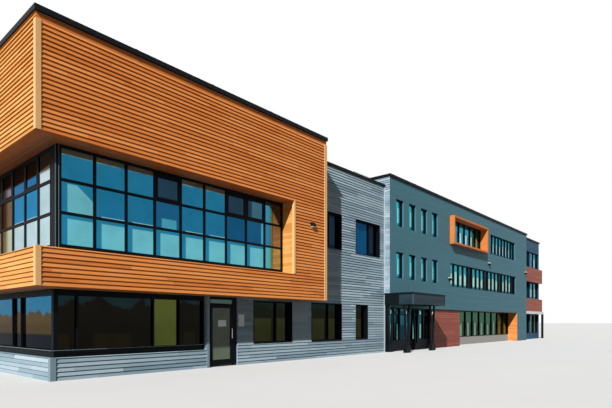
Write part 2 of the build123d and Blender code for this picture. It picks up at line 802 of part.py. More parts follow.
# Window frames and glass of the far wing and the end block
y_far_frame = y_far + window_set_back
y_box_frame = y_window_box + box_depth - frame_depth - glass
y_end_frame = y_end + window_set_back
with BuildPart() as far_window_frames:
    for window in slits + [second_ribbon, third_ribbon]:
        frame(front_plane(y_far_frame), -frame_depth, window, panes(window))
    frame(front_plane(y_box_frame), -frame_depth, box_window, panes(box_window))
    for window in end_windows:
        frame(front_plane(y_end_frame), -frame_depth, window, panes(window))
    frame(front_plane(y_recess), -frame_depth, recess_window, panes(recess_window))
    frame(front_plane(y_entrance), -frame_depth, entrance_window,
          panes(entrance_window, (door_transom,)))
    for window in far_rear:
        frame(front_plane(y_far_back - window_set_back), frame_depth, window, panes(window))
    for window in side_windows:
        frame(side_plane(x_right - window_set_back), -frame_depth, window, panes(window))
save(far_window_frames, "far_window_frames")

with BuildPart() as far_window_glass:
    for window in slits + [second_ribbon, third_ribbon]:
        sheet(front_plane(y_far_frame + frame_depth), -glass, window)
    sheet(front_plane(y_box_frame + frame_depth), -glass, box_window)
    for window in end_windows:
        sheet(front_plane(y_end_frame + frame_depth), -glass, window)
    sheet(front_plane(y_recess + frame_depth), -glass, recess_window)
    sheet(front_plane(y_entrance + frame_depth), -glass, entrance_window)
    for window in far_rear:
        sheet(front_plane(y_far_back - window_set_back - frame_depth), glass, window)
    for window in side_windows:
        sheet(side_plane(x_right - window_set_back - frame_depth), -glass, window)
save(far_window_glass, "far_window_glass")

# End block: dark wall with two red bands and a pale fascia that turn its corner
with BuildPart() as end_front_wall:
    front_panel(y_end, wall, x_end, x_right, 0, far_top, end_windows)
save(end_front_wall, "end_front_wall")

with BuildPart() as end_red_bands:
    for low, high in (low_red_band, high_red_band):
        end_band(low, high, red_band_reach, red_band_reach)
save(end_red_bands, "end_red_bands")

fascia_low = low_red_band[0] - fascia_height
with BuildPart() as end_fascia:
    end_band(fascia_low, low_red_band[0], fascia_reach, fascia_overhang)
save(end_fascia, "end_fascia")

with BuildPart() as end_side_wall:
    side_panel(x_right - wall, wall, y_end + wall, y_far_back - wall, 0, far_top,
               side_windows)
save(end_side_wall, "end_side_wall")

# Entrance canopy: a deep fascia round an open underside, with a top plate that stands out
# over it. Its left end laps the wing's corner and runs back to the grey wall.
with BuildPart() as canopy_roof:
    with BuildSketch(Plane.XY.offset(canopy_bottom)):
        area(x_canopy, x_canopy + canopy_width, y_canopy + canopy_lip, y_far)
        area(x_canopy, x_far - joint_gap, y_far, y_front - joint_gap)
    extrude(amount=canopy_height)
    with BuildSketch(Plane.XY.offset(canopy_bottom)):
        area(x_canopy + canopy_skin, x_canopy + canopy_width - canopy_skin,
             y_canopy + canopy_lip + canopy_skin, y_far - canopy_skin)
    extrude(amount=canopy_recess, mode=Mode.SUBTRACT)
    with BuildSketch(Plane.XY.offset(canopy_bottom + canopy_height)):
        area(x_canopy - canopy_lip, x_canopy + canopy_width + canopy_lip, y_canopy, y_far)
        area(x_canopy - canopy_lip, x_far - joint_gap, y_far, y_front - joint_gap)
    extrude(amount=canopy_plate)
save(canopy_roof, "canopy_roof")

# Four V columns under the canopy, and the square column at the end block's corner

with BuildPart() as canopy_columns:
    for x in column_places:
        for y, column_top in ((y_front_columns, canopy_bottom + canopy_recess),
                              (y_back_columns, cladding_bottom)):
            with BuildSketch(front_plane(y - column_side / 2)):
                for turn in (-1, 1):
                    foot = x + turn * column_foot / 2
                    head = x + turn * column_spread / 2
                    with BuildLine():
                        Polyline((foot - column_side / 2, site_rise),
                                 (foot + column_side / 2, site_rise),
                                 (head + column_side / 2, column_top),
                                 (head - column_side / 2, column_top), close=True)
                    make_face()
                area(x - column_pier_width / 2, x + column_pier_width / 2, site_rise,
                     site_rise + column_plate)
            extrude(amount=-column_side)
    deck(0, fascia_low, x_right + fascia_overhang - corner_column, x_right + fascia_overhang,
         y_end - fascia_reach, y_end - fascia_reach + corner_column)
save(canopy_columns, "canopy_columns")

# Small pieces on the walls and the roof
with BuildPart() as rooftop_unit:
    x_unit = x_far + unit_start
    z_roof = far_top - parapet
    deck(z_roof, unit_top - z_roof, x_unit, x_unit + unit_length, y_front + unit_back,
         y_front + unit_back + unit_depth)
    fillet(edges().filter_by(Axis.Z), unit_corner)
save(rooftop_unit, "rooftop_unit")

with BuildPart() as wall_lamps:
    for face_y, place in [(y_box, (x_near + near_lamp[0], near_lamp[1]))] + [
            (y_far, (x_far + x, z)) for x, z in far_lamps]:
        with BuildSketch(side_plane(place[0])):
            with BuildLine():
                Polyline((face_y, place[1]), (face_y, place[1] + lamp_height),
                         (face_y - lamp_depth / 2, place[1] + lamp_height),
                         (face_y - lamp_depth, place[1] + lamp_height / 2),
                         (face_y - lamp_depth, place[1]), close=True)
            make_face()
        extrude(amount=lamp_width)
save(wall_lamps, "wall_lamps")

with BuildPart() as sign_plate:
    front_panel(y_front - plate_thickness, plate_thickness, x_door_end + plate_from_door,
                x_door_end + plate_from_door + plate_width, plate_low, plate_low + plate_height)
    fillet(edges().filter_by(Axis.Y), plate_corner)
save(sign_plate, "sign_plate")
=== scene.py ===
# %% [markdown]
# A long commercial building, dressed for its portrait. The frame brings the walls, windows, roofs and
# canopy as plain solids in metres at 1:2. This lesson gives them their boards, trims and finishes.
# Each step first says what the real piece is, and then why it is made in this way.

# %% The frame and the tools
import json
import math

import bmesh
import bpy
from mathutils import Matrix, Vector


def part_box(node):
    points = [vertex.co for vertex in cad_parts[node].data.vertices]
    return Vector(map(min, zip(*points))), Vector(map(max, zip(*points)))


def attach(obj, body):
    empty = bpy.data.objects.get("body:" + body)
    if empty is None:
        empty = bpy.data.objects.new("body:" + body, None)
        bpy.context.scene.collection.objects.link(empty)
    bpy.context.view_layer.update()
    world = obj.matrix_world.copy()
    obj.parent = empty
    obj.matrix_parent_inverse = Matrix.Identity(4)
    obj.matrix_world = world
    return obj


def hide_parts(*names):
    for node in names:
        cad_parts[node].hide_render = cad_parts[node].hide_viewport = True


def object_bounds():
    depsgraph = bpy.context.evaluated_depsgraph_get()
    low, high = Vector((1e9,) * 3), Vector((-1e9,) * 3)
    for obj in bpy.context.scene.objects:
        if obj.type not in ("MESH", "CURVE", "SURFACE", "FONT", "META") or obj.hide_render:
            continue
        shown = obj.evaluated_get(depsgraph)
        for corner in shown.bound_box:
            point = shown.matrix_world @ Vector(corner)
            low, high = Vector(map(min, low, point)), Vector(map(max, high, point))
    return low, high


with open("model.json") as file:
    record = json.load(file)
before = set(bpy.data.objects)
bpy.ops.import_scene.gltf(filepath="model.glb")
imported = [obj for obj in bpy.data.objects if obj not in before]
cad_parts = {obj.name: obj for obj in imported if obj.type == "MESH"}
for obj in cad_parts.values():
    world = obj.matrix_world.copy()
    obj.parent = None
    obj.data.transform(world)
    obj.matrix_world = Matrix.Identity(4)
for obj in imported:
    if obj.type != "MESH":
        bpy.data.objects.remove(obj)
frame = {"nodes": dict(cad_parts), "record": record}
cad_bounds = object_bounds()
scene = bpy.context.scene
print("loaded", len(frame["nodes"]), "pieces of the frame")

# %% [markdown]
# The model is half the real size, so each real length is multiplied by one value. Lengths that the
# frame already has are read from it and not written again.

# %% Sizes that everything shares
HALF = 0.5
MM = 0.001 * HALF
near_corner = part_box("near_front_base")[0]
print("one real metre is", HALF, "m here; the near ground corner is at", near_corner[:])

# %% [markdown]
# The camera stands in front of the near corner at eye height and looks level, so upright lines stay
# upright. The lens is raised instead of tilted, which a vertical shift does.

# %% Camera
EYE = Vector((-5.9, -15.23, 1.78)) * HALF
HEADING = math.radians(-49.0)
FRAME_WIDTH = 612
FOCAL_PIXELS = 482.7
HORIZON_BELOW_MIDDLE = 118
SENSOR_WIDTH = 36.0
FARTHEST = 1000.0
camera = bpy.data.objects.new("camera", bpy.data.cameras.new("camera"))
camera.location = (near_corner.x + EYE.x, near_corner.y + EYE.y, EYE.z)
camera.rotation_euler = (math.radians(90), 0, HEADING)
camera.data.sensor_width = SENSOR_WIDTH
camera.data.lens = SENSOR_WIDTH * FOCAL_PIXELS / FRAME_WIDTH
camera.data.shift_y = HORIZON_BELOW_MIDDLE / FRAME_WIDTH
camera.data.clip_end = FARTHEST
scene.collection.objects.link(camera)
scene.camera = camera
print("camera at", camera.location[:], "lens", round(camera.data.lens, 2), "mm")

# %% [markdown]
# Materials and Geometry Nodes trees are both made of nodes. One function adds a node, sets its options
# and sets or links its inputs, and one function turns a colour picked on a screen into a linear one.
# Some nodes have several inputs of one name, so those are given by number: a Mix of colours has its
# share in 0 and its colours in 6 and 7, and its result is output 2.

# %% Helpers for nodes and colours
MATHS = "ShaderNodeMath"
VECTOR = "ShaderNodeVectorMath"


def add(tree, kind, inputs=None, **settings):
    """Add a node to a tree. An input may be a value, a socket, or a node whose first output is meant."""
    new = tree.nodes.new(kind)
    for option, value in settings.items():
        setattr(new, option, value)
    for socket, value in (inputs or {}).items():
        if isinstance(value, bpy.types.Node):
            value = value.outputs[0]
        if isinstance(value, bpy.types.NodeSocket):
            tree.links.new(value, new.inputs[socket])
        else:
            new.inputs[socket].default_value = value
    return new


def linear(code):
    """The linear colour of an sRGB hex value."""
    shares = [int(code[place:place + 2], 16) / 255 for place in (1, 3, 5)]
    return tuple(s / 12.92 if s <= 0.04045 else ((s + 0.055) / 1.055) ** 2.4 for s in shares) + (1.0,)


# %% [markdown]
# Late-morning light rakes along the front: the sun stands to the left, a little in front and about
# thirty-four degrees up. One sun gives the shadows and a low even light fills them. Backdrop and floor
# are pale only for what looks at them directly, in a mirror or through glass. To the light that
# bounces they are darker, so the shadows under the laps and the overhangs stay deep.

# %% Light, backdrop and floor
SUN_TRAVEL = Vector((2.55, 1.095, -1.85))
SUN_STRENGTH = 5.2
SUN_SOFTNESS = math.radians(1.2)
FILL_STRENGTH = 0.14
FLOOR_REACH = 400.0
FLOOR_MOTTLE = 0.8


def looked_at(tree, *ways):
    """A value of one for what looks in one of these ways, and of zero for the light that bounces."""
    rays = add(tree, "ShaderNodeLightPath").outputs
    looks = rays[ways[0]]
    for way in ways[1:]:
        looks = add(tree, MATHS, {0: looks, 1: rays[way]}, operation="MAXIMUM")
    return looks


sun = bpy.data.objects.new("sun", bpy.data.lights.new("sun", "SUN"))
sun.data.energy = SUN_STRENGTH
sun.data.angle = SUN_SOFTNESS
sun.rotation_euler = SUN_TRAVEL.to_track_quat("-Z", "Y").to_euler()
scene.collection.objects.link(sun)

world = bpy.data.worlds.new("studio")
world.use_nodes = True
tree = world.node_tree
tree.nodes.clear()
looks = looked_at(tree, "Is Camera Ray", "Is Glossy Ray", "Is Transmission Ray")
fill = add(tree, "ShaderNodeBackground", {"Color": linear("#D4E2F6"), "Strength": FILL_STRENGTH})
white = add(tree, "ShaderNodeBackground", {"Color": linear("#FFFFFF"), "Strength": 1.0})
either = add(tree, "ShaderNodeMixShader", {0: looks, 1: fill, 2: white})
add(tree, "ShaderNodeOutputWorld", {"Surface": either})
scene.world = world
scene.view_settings.view_transform = "Standard"
print("sun from", (-SUN_TRAVEL.normalized())[:])

# %% [markdown]
# A material starts as one shader with its plain values set on its own sockets, and patterns are
# linked to it afterwards. Patterns read Object coordinates in metres, so their scale is a real size.

# %% The start of every finish
def finish(name, **sockets):
    """A new material, its tree, its shader and the Object coordinates of a place on it."""
    material = bpy.data.materials.new(name)
    material.use_nodes = True
    tree = material.node_tree
    tree.nodes.clear()
    shader = add(tree, "ShaderNodeBsdfPrincipled",
                 {socket.replace("_", " "): value for socket, value in sockets.items()})
    add(tree, "ShaderNodeOutputMaterial", {"Surface": shader})
    place = add(tree, "ShaderNodeTexCoord").outputs["Object"]
    return material, tree, shader, place


floor_finish, tree, shader, place = finish("pale_studio_floor", Roughness=0.9)
mottle = add(tree, "ShaderNodeTexNoise", {"Vector": place, "Scale": FLOOR_MOTTLE, "Detail": 3.0})
pale = add(tree, "ShaderNodeMix", {0: mottle, 6: linear("#DCDBD8"), 7: linear("#E2E1DE")},
           data_type="RGBA")
looks = looked_at(tree, "Is Camera Ray", "Is Glossy Ray")
either = add(tree, "ShaderNodeMix", {0: looks, 6: linear("#5C5C58"), 7: pale.outputs[2]},
             data_type="RGBA")
tree.links.new(either.outputs[2], shader.inputs["Base Color"])
floor_mesh = bpy.data.meshes.new("floor")
floor_mesh.from_pydata([(x * FLOOR_REACH, y * FLOOR_REACH, 0)
                        for x, y in ((-1, -1), (1, -1), (1, 1), (-1, 1))], [], [(0, 1, 2, 3)])
floor_mesh.materials.append(floor_finish)
floor = bpy.data.objects.new("floor", floor_mesh)
floor.location.z = cad_bounds[0][2] - MM
scene.collection.objects.link(floor)

# %% [markdown]
# Sawn boards, stained or factory coated. Each board has its own tone, stored on the mesh when the
# boards are made, and a grain that runs along it: a noise stretched twenty times along the wall.
# A faint bump from the same grain breaks up the sheen. The cedar that faces the sun most, on the end
# of the box and in its recess, is a paler copy of it: painted sunlight.

# %% Board finishes
GRAIN_PITCH = 9 * MM
GRAINS_IN_A_CELL = 3
STREAK = 20.0
OWN_GRAIN = (31.0, 0.0, 17.0)
PATCH_SCALE = 1.1
PATCH_SHARE = 0.22
RAMP_ENDS = (0.2, 0.8)
RELIEF = 2 * MM


def boards(name, deep, middle, pale, roughness, grain=0.5, bump=0.25):
    """A finish for horizontal boards, from three colours and the strength of the grain."""
    material, tree, shader, place = finish(name, Roughness=roughness, Specular_IOR_Level=0.2)
    tone = add(tree, "ShaderNodeAttribute", attribute_name="tone").outputs["Fac"]
    own = add(tree, "ShaderNodeCombineXYZ", {"X": tone, "Z": tone})
    moved = add(tree, VECTOR, {0: own, 1: OWN_GRAIN, 2: place}, operation="MULTIPLY_ADD")
    fine = 1 / GRAIN_PITCH / GRAINS_IN_A_CELL
    stretched = add(tree, "ShaderNodeMapping",
                    {"Vector": moved, "Scale": (fine / STREAK, fine / STREAK, fine)})
    grain_field = add(tree, "ShaderNodeTexNoise",
                      {"Vector": stretched, "Scale": 1.0, "Detail": 4.0, "Roughness": 0.65})
    patches = add(tree, "ShaderNodeTexNoise", {"Vector": place, "Scale": PATCH_SCALE, "Detail": 2.0})
    mixed = add(tree, "ShaderNodeMix", {0: grain, 2: tone, 3: grain_field.outputs[0]})
    share = add(tree, "ShaderNodeMix", {0: PATCH_SHARE, 2: mixed, 3: patches.outputs[0]})
    ramp = add(tree, "ShaderNodeValToRGB", {0: share})
    for end, position, code in zip(ramp.color_ramp.elements, RAMP_ENDS, (deep, pale)):
        end.position = position
        end.color = linear(code)
    ramp.color_ramp.elements.new(sum(RAMP_ENDS) / 2).color = linear(middle)
    tree.links.new(ramp.outputs[0], shader.inputs["Base Color"])
    relief = add(tree, "ShaderNodeBump", {"Strength": bump, "Distance": RELIEF, "Height": grain_field})
    tree.links.new(relief.outputs[0], shader.inputs["Normal"])
    return material


FINISHES = {
    "cedar_boards": boards("oiled_cedar", "#BC642C", "#DA8440", "#EA9E5A", 0.55, 0.6),
    # painted sunlight: a paler copy of the cedar for the faces that the sun strikes most
    "sunlit_cedar": boards("painted_sunlit_cedar", "#B8742E", "#D8984E", "#EAB268", 0.55, 0.6),
    "grey_siding": boards("factory_coated_grey_boards", "#768C98", "#92A6B0", "#B0C0C8", 0.6, 0.4, 0.1),
    "slate_panels": boards("slate_coated_boards", "#426E7A", "#45727E", "#497682", 0.6, 0.4, 0.03),
    "dark_panels": boards("dark_slate_boards", "#17405A", "#1A4662", "#1E4C6A", 0.6, 0.4, 0.03),
    "red_siding": boards("red_brown_boards", "#8A473A", "#9A5545", "#AA6451", 0.6, 0.4, 0.1),
    "canopy_metal": boards("charcoal_boards", "#172730", "#1C2D37", "#243640", 0.6, 0.4, 0.05),
}
print("board finishes:", ", ".join(FINISHES))

# %% [markdown]
# Coated and plain metals, concrete, roofing and panels, and small parts such as a lens, a card and the
# transom's glass. Each gets the marks that its making leaves: orange peel on powder coat, mottled
# cement, faint dust on the roof. A patch is as wide as the marks are, from 12 mm to 900 mm.

# %% Plain finishes
def plain(name, deep, pale, pitch, roughness, bump=0.1, **sockets):
    """A finish whose colour wanders between two close tones over patches of a given pitch."""
    material, tree, shader, place = finish(name, Roughness=roughness, **sockets)
    patches = add(tree, "ShaderNodeTexNoise",
                  {"Vector": place, "Scale": 1 / pitch, "Detail": 5.0, "Roughness": 0.6})
    ramp = add(tree, "ShaderNodeMix", {0: patches, 6: linear(deep), 7: linear(pale)}, data_type="RGBA")
    tree.links.new(ramp.outputs[2], shader.inputs["Base Color"])
    relief = add(tree, "ShaderNodeBump", {"Strength": bump, "Distance": RELIEF, "Height": patches})
    tree.links.new(relief.outputs[0], shader.inputs["Normal"])
    return material


FINISHES.update({
    "black_aluminium": plain("powder_coated_aluminium", "#060A0E", "#0C1216", 40 * MM, 0.5, 0.05,
                             Specular_IOR_Level=0.06),
    "black_metal": plain("coated_sheet_metal", "#0A0E12", "#12171C", 120 * MM, 0.5, 0.08,
                         Specular_IOR_Level=0.08),
    "pale_panel": plain("enamelled_panel", "#BFE0E4", "#D2ECEE", 600 * MM, 0.35, 0.02),
    "cedar_trim": plain("oiled_pale_cedar", "#DFA564", "#ECBC82", 30 * MM, 0.55, 0.3),
    "grey_trim": plain("coated_corner_board", "#6E868E", "#7E969E", 200 * MM, 0.6, 0.1),
    "pale_trim": plain("pale_coated_corner_board", "#B8C0C2", "#C8D0D2", 200 * MM, 0.6, 0.1),
    # painted highlight: a pale grey for the sunlit edges of the sill noses and the corner post's beads
    "sill_nose": plain("painted_highlight_aluminium_edge", "#5C7078", "#70848C", 60 * MM, 0.5, 0.1),
    "canopy_trim": plain("charcoal_corner_board", "#2C3E4A", "#344854", 200 * MM, 0.6, 0.1),
    "transom_glass": plain("teal_transom_glass", "#3F8F88", "#62B4A8", 300 * MM, 0.15, 0.0),
    "notice_card": plain("blank_white_card", "#F2F8FA", "#FCFEFE", 60 * MM, 0.5, 0.02),
    "lamp_lens": plain("warm_white_lens", "#F0DCA8", "#F8EAC4", 60 * MM, 0.4, 0.05),
    "white_metal": plain("white_coated_metal", "#D9DADA", "#E6E6E4", 300 * MM, 0.45, 0.05),
    "steel": plain("brushed_stainless_steel", "#A8ACAE", "#C2C5C6", 12 * MM, 0.3, 0.1, Metallic=1.0),
    "concrete": plain("fair_faced_concrete", "#9A9892", "#B5B3AC", 250 * MM, 0.9, 0.5),
    "roof_membrane": plain("roof_membrane", "#63666A", "#74777A", 900 * MM, 0.85, 0.3),
    "gypsum": plain("painted_plaster", "#CFCDC6", "#DAD8D2", 900 * MM, 0.8, 0.05),
})

# %% [markdown]
# Soffits and the lining of the corner recess are narrow oiled boards laid edge to edge. The grooves
# between them are too fine to cut into the frame's slabs, so they are drawn by the material: dark
# lines at equal distances from the outer faces, which meet in a mitre under the corner of the box.

# %% Soffit boards
SOFFIT_BOARD = 140 * MM
GROOVE = 0.1
GROOVE_DEPTH = 4 * MM
SOFFIT_GRAIN = 9.0
timber_low, timber_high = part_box("timber_front")
material, tree, shader, place = finish("oiled_cedar_soffit", Roughness=0.6)
inside = add(tree, VECTOR, {0: place, 1: tuple(timber_low)}, operation="SUBTRACT")
inside = add(tree, "ShaderNodeSeparateXYZ", {0: inside}).outputs
depth = add(tree, MATHS, {0: inside["X"], 1: inside["Y"]}, operation="MINIMUM")
depth = add(tree, MATHS, {0: depth, 1: SOFFIT_BOARD}, operation="DIVIDE")
share = add(tree, MATHS, {0: depth}, operation="FRACT")
groove = add(tree, MATHS, {0: share, 1: GROOVE}, operation="LESS_THAN")
number = add(tree, MATHS, {0: depth}, operation="FLOOR")
tone = add(tree, "ShaderNodeTexWhiteNoise", {"W": number}, noise_dimensions="1D")
grain = add(tree, "ShaderNodeTexNoise", {"Vector": place, "Scale": SOFFIT_GRAIN, "Detail": 5.0})
tone = add(tree, "ShaderNodeMix", {0: 0.5, 2: tone, 3: grain})
wood = add(tree, "ShaderNodeMix", {0: tone, 6: linear("#8A4E22"), 7: linear("#B4723A")},
           data_type="RGBA")
wood = add(tree, "ShaderNodeMix", {0: groove, 6: wood.outputs[2], 7: linear("#24130A")},
           data_type="RGBA")
tree.links.new(wood.outputs[2], shader.inputs["Base Color"])
cut = add(tree, MATHS, {0: 1.0, 1: groove}, operation="SUBTRACT")
relief = add(tree, "ShaderNodeBump", {"Strength": 0.5, "Distance": GROOVE_DEPTH, "Height": cut})
tree.links.new(relief.outputs[0], shader.inputs["Normal"])
FINISHES["cedar_soffit"] = material

# %% [markdown]
# Solar-control glass is a thin tinted mirror: it shows the soffit overhead, whatever stands opposite
# and a pale blind or panel close behind it. An empty studio has little of that. So each pane carries
# a painted view as attributes on its mesh: a main colour, another one above a line, and a core area.
# These are painted reflections of the sky and the soffit, and painted sunlight and shadow on a blind
# or panel behind the glass. The noise that ripples the glass also brightens and darkens the painted
# colours. One finish reads them and mirrors the studio in those colours. A mirror turns white where it
# is seen at a grazing angle, and a grey tint on that edge keeps the panes dark there. The door has a
# clearer tinted sheet, which shows some of the room behind it.

# %% Window glass
EDGE_TINT = (0.5, 0.5, 0.5, 1.0)
WAVE_SCALE = 3.0
LINE_SOFTNESS = 0.015
CORE_SOFTNESS = 0.03
WAVE_DEPTH = 0.5
material, tree, shader, place = finish("solar_control_glass", Metallic=0.94, Roughness=0.08,
                                       Specular_Tint=EDGE_TINT)
told = {label: add(tree, "ShaderNodeAttribute", attribute_name=label).outputs
        for label in ("spot", "line", "core_low", "core_high", "main", "upper", "core")}
wave = add(tree, "ShaderNodeTexNoise", {"Vector": place, "Scale": WAVE_SCALE, "Detail": 4.0})
wave = add(tree, MATHS, {0: wave, 1: 0.5}, operation="SUBTRACT")
spot = add(tree, "ShaderNodeSeparateXYZ", {0: told["spot"]["Vector"]}).outputs
line = add(tree, "ShaderNodeSeparateXYZ", {0: told["line"]["Vector"]}).outputs
level = add(tree, MATHS, {0: spot["X"], 1: line["Y"], 2: line["X"]}, operation="MULTIPLY_ADD")
above = add(tree, MATHS, {0: spot["Y"], 1: level}, operation="SUBTRACT")
above = add(tree, MATHS, {0: wave, 1: line["Z"], 2: above}, operation="MULTIPLY_ADD")
above = add(tree, "ShaderNodeMapRange", {0: above, 1: -LINE_SOFTNESS, 2: LINE_SOFTNESS})
inner = [add(tree, VECTOR, {0: told[first]["Vector"], 1: told[second]["Vector"]},
             operation="SUBTRACT") for first, second in (("spot", "core_low"), ("core_high", "spot"))]
inner = add(tree, VECTOR, {0: inner[0], 1: inner[1]}, operation="MINIMUM")
inner = add(tree, "ShaderNodeSeparateXYZ", {0: inner}).outputs
inner = add(tree, MATHS, {0: inner["X"], 1: inner["Y"]}, operation="MINIMUM")
inner = add(tree, "ShaderNodeMapRange", {0: inner, 1: 0.0, 2: CORE_SOFTNESS})
colour = add(tree, "ShaderNodeMix", {0: inner, 6: told["main"]["Color"], 7: told["core"]["Color"]},
             data_type="RGBA")
colour = add(tree, "ShaderNodeMix", {0: above, 6: colour.outputs[2], 7: told["upper"]["Color"]},
             data_type="RGBA")
# the wave brightens and darkens the painted reflections
uneven = add(tree, MATHS, {0: wave, 1: WAVE_DEPTH, 2: 1.0}, operation="MULTIPLY_ADD")
colour = add(tree, VECTOR, {0: colour.outputs[2], "Scale": uneven}, operation="SCALE")
tree.links.new(colour.outputs[0], shader.inputs["Base Color"])
relief = add(tree, "ShaderNodeBump", {"Strength": 0.03, "Distance": RELIEF, "Height": wave})
tree.links.new(relief.outputs[0], shader.inputs["Normal"])
mirror_glass = material
FINISHES["tinted_glass"] = plain("tinted_door_glass", "#4E6E64", "#8A8E6C", 900 * MM, 0.1, 0.0,
                                 Alpha=0.75, Specular_IOR_Level=0.3)

slot_of = {part["node"]: part["material_slot"] for part in frame["record"]["subparts"]}
for node, cad in frame["nodes"].items():
    cad.data.materials.clear()
    cad.data.materials.append(FINISHES[slot_of[node]])
print("finished", len(frame["nodes"]), "frame pieces")

# %% [markdown]
# Lap siding is rows of tapered boards: each one is thick at its lower edge and laps over the one
# below, which leaves a thin shadow line. Bump could draw the line, but raking sun shows real steps,
# so each board is a wedge. A Geometry Nodes tree lays a field of them: it works out the rows and the
# boards of each row, starts each row at a random place, clips every board to the field and puts a
# wedge there. A wall with windows is several fields round its openings, on one common datum, so the
# rows and joints run on.

# %% The lap board tree
def new_tree(name, inputs):
    """A Geometry Nodes tree that takes named inputs and hands on a geometry."""
    tree = bpy.data.node_groups.new(name, "GeometryNodeTree")
    tree.interface.new_socket("Geometry", in_out="INPUT", socket_type="NodeSocketGeometry")
    for label, kind in inputs.items():
        tree.interface.new_socket(label, in_out="INPUT", socket_type="NodeSocket" + kind)
    tree.interface.new_socket("Geometry", in_out="OUTPUT", socket_type="NodeSocketGeometry")
    return tree


def hand_on(tree, given, laid):
    """End a tree: what it laid is joined to what it was given."""
    whole = add(tree, "GeometryNodeJoinGeometry")
    tree.links.new(laid.outputs[0], whole.inputs[0])
    tree.links.new(given["Geometry"], whole.inputs[0])
    add(tree, "NodeGroupOutput", {"Geometry": whole})


SMALLEST = 2 * MM
SPARE_CELLS = (2.0, 1.0, 1.0)
NUMBERS_IN_A_ROW = 97.0
lap = new_tree("lap_boards", {"Low": "Vector", "High": "Vector", "Start": "Vector", "Board": "Vector",
                              "End Gap": "Float", "Butt": "Float", "Tip": "Float", "Seed": "Int",
                              "Turn": "Vector", "Place": "Vector", "Finish": "Material"})
given = add(lap, "NodeGroupInput").outputs

# Whole rows and boards that the field touches
cells = []
for corner in ("Low", "High"):
    reach = add(lap, VECTOR, {0: given[corner], 1: given["Start"]}, operation="SUBTRACT")
    reach = add(lap, VECTOR, {0: reach, 1: given["Board"]}, operation="DIVIDE")
    cells.append(add(lap, VECTOR, {0: reach}, operation="FLOOR"))
count = add(lap, VECTOR, {0: cells[1], 1: cells[0]}, operation="SUBTRACT")
count = add(lap, VECTOR, {0: count, 1: SPARE_CELLS}, operation="ADD")
count = add(lap, "ShaderNodeSeparateXYZ", {0: count}).outputs
total = add(lap, MATHS, {0: count["X"], 1: count["Z"]}, operation="MULTIPLY")
index = add(lap, "GeometryNodeInputIndex")
column = add(lap, MATHS, {0: index, 1: count["X"]}, operation="MODULO")
row = add(lap, MATHS, {0: index, 1: count["X"]}, operation="DIVIDE")
row = add(lap, MATHS, {0: row}, operation="FLOOR")
cell = add(lap, "ShaderNodeCombineXYZ", {"X": column, "Z": row})
cell = add(lap, VECTOR, {0: cell, 1: cells[0]}, operation="ADD")

# Each board's own box, clipped to the field
which = add(lap, "ShaderNodeSeparateXYZ", {0: cell}).outputs
slide = add(lap, "FunctionNodeRandomValue", {"ID": which["Z"], "Seed": given["Seed"]})
slide = add(lap, "ShaderNodeCombineXYZ", {"X": slide.outputs[1]})
low = add(lap, VECTOR, {0: cell, 1: slide}, operation="SUBTRACT")
low = add(lap, VECTOR, {0: low, 1: given["Board"], 2: given["Start"]}, operation="MULTIPLY_ADD")
high = add(lap, VECTOR, {0: low, 1: given["Board"]}, operation="ADD")
gap = add(lap, "ShaderNodeCombineXYZ", {"X": given["End Gap"]})
high = add(lap, VECTOR, {0: high, 1: gap}, operation="SUBTRACT")
low = add(lap, VECTOR, {0: low, 1: given["Low"]}, operation="MAXIMUM")
high = add(lap, VECTOR, {0: high, 1: given["High"]}, operation="MINIMUM")
span = add(lap, VECTOR, {0: high, 1: low}, operation="SUBTRACT")
tone_id = add(lap, MATHS, {0: which["Z"], 1: NUMBERS_IN_A_ROW, 2: which["X"]}, operation="MULTIPLY_ADD")
tone = add(lap, "FunctionNodeRandomValue", {"ID": tone_id, "Seed": given["Seed"]})

# Points that remember their board
points = add(lap, "GeometryNodeMeshLine", {"Count": total})
for label, value, kind in (("place", low, "FLOAT_VECTOR"), ("span", span, "FLOAT_VECTOR"),
                           ("tone", tone.outputs[1], "FLOAT")):
    points = add(lap, "GeometryNodeStoreNamedAttribute",
                 {"Geometry": points, "Name": label, "Value": value}, data_type=kind, domain="POINT")
held_place = add(lap, "GeometryNodeInputNamedAttribute", {"Name": "place"}, data_type="FLOAT_VECTOR")
held_span = add(lap, "GeometryNodeInputNamedAttribute", {"Name": "span"}, data_type="FLOAT_VECTOR")
points = add(lap, "GeometryNodeSetPosition", {"Geometry": points, "Position": held_place})
sides = add(lap, "ShaderNodeSeparateXYZ", {0: held_span}).outputs
least = add(lap, MATHS, {0: sides["X"], 1: sides["Z"]}, operation="MINIMUM")
sliver = add(lap, MATHS, {0: least, 1: SMALLEST}, operation="LESS_THAN")
points = add(lap, "GeometryNodeDeleteGeometry", {"Geometry": points, "Selection": sliver})

# One wedge, a unit long and high, thick at the foot and thin at the head
block = add(lap, "GeometryNodeMeshCube", {"Size": (1.0, 1.0, 1.0)})
corner = add(lap, "ShaderNodeSeparateXYZ", {0: add(lap, "GeometryNodeInputPosition")}).outputs
front = add(lap, MATHS, {0: corner["Y"], 1: 0.0}, operation="LESS_THAN")
foot = add(lap, MATHS, {0: corner["Z"], 1: 0.0}, operation="LESS_THAN")
taper = add(lap, MATHS, {0: given["Tip"], 1: given["Butt"]}, operation="SUBTRACT")
depth = add(lap, MATHS, {0: foot, 1: taper}, operation="MULTIPLY")
depth = add(lap, MATHS, {0: depth, 1: given["Tip"]}, operation="SUBTRACT")
depth = add(lap, MATHS, {0: depth, 1: front}, operation="MULTIPLY")
across = add(lap, MATHS, {0: corner["X"], 1: 0.5}, operation="ADD")
up = add(lap, MATHS, {0: corner["Z"], 1: 0.5}, operation="ADD")
shape = add(lap, "ShaderNodeCombineXYZ", {"X": across, "Y": depth, "Z": up})
wedge = add(lap, "GeometryNodeSetPosition", {"Geometry": block.outputs["Mesh"], "Position": shape})

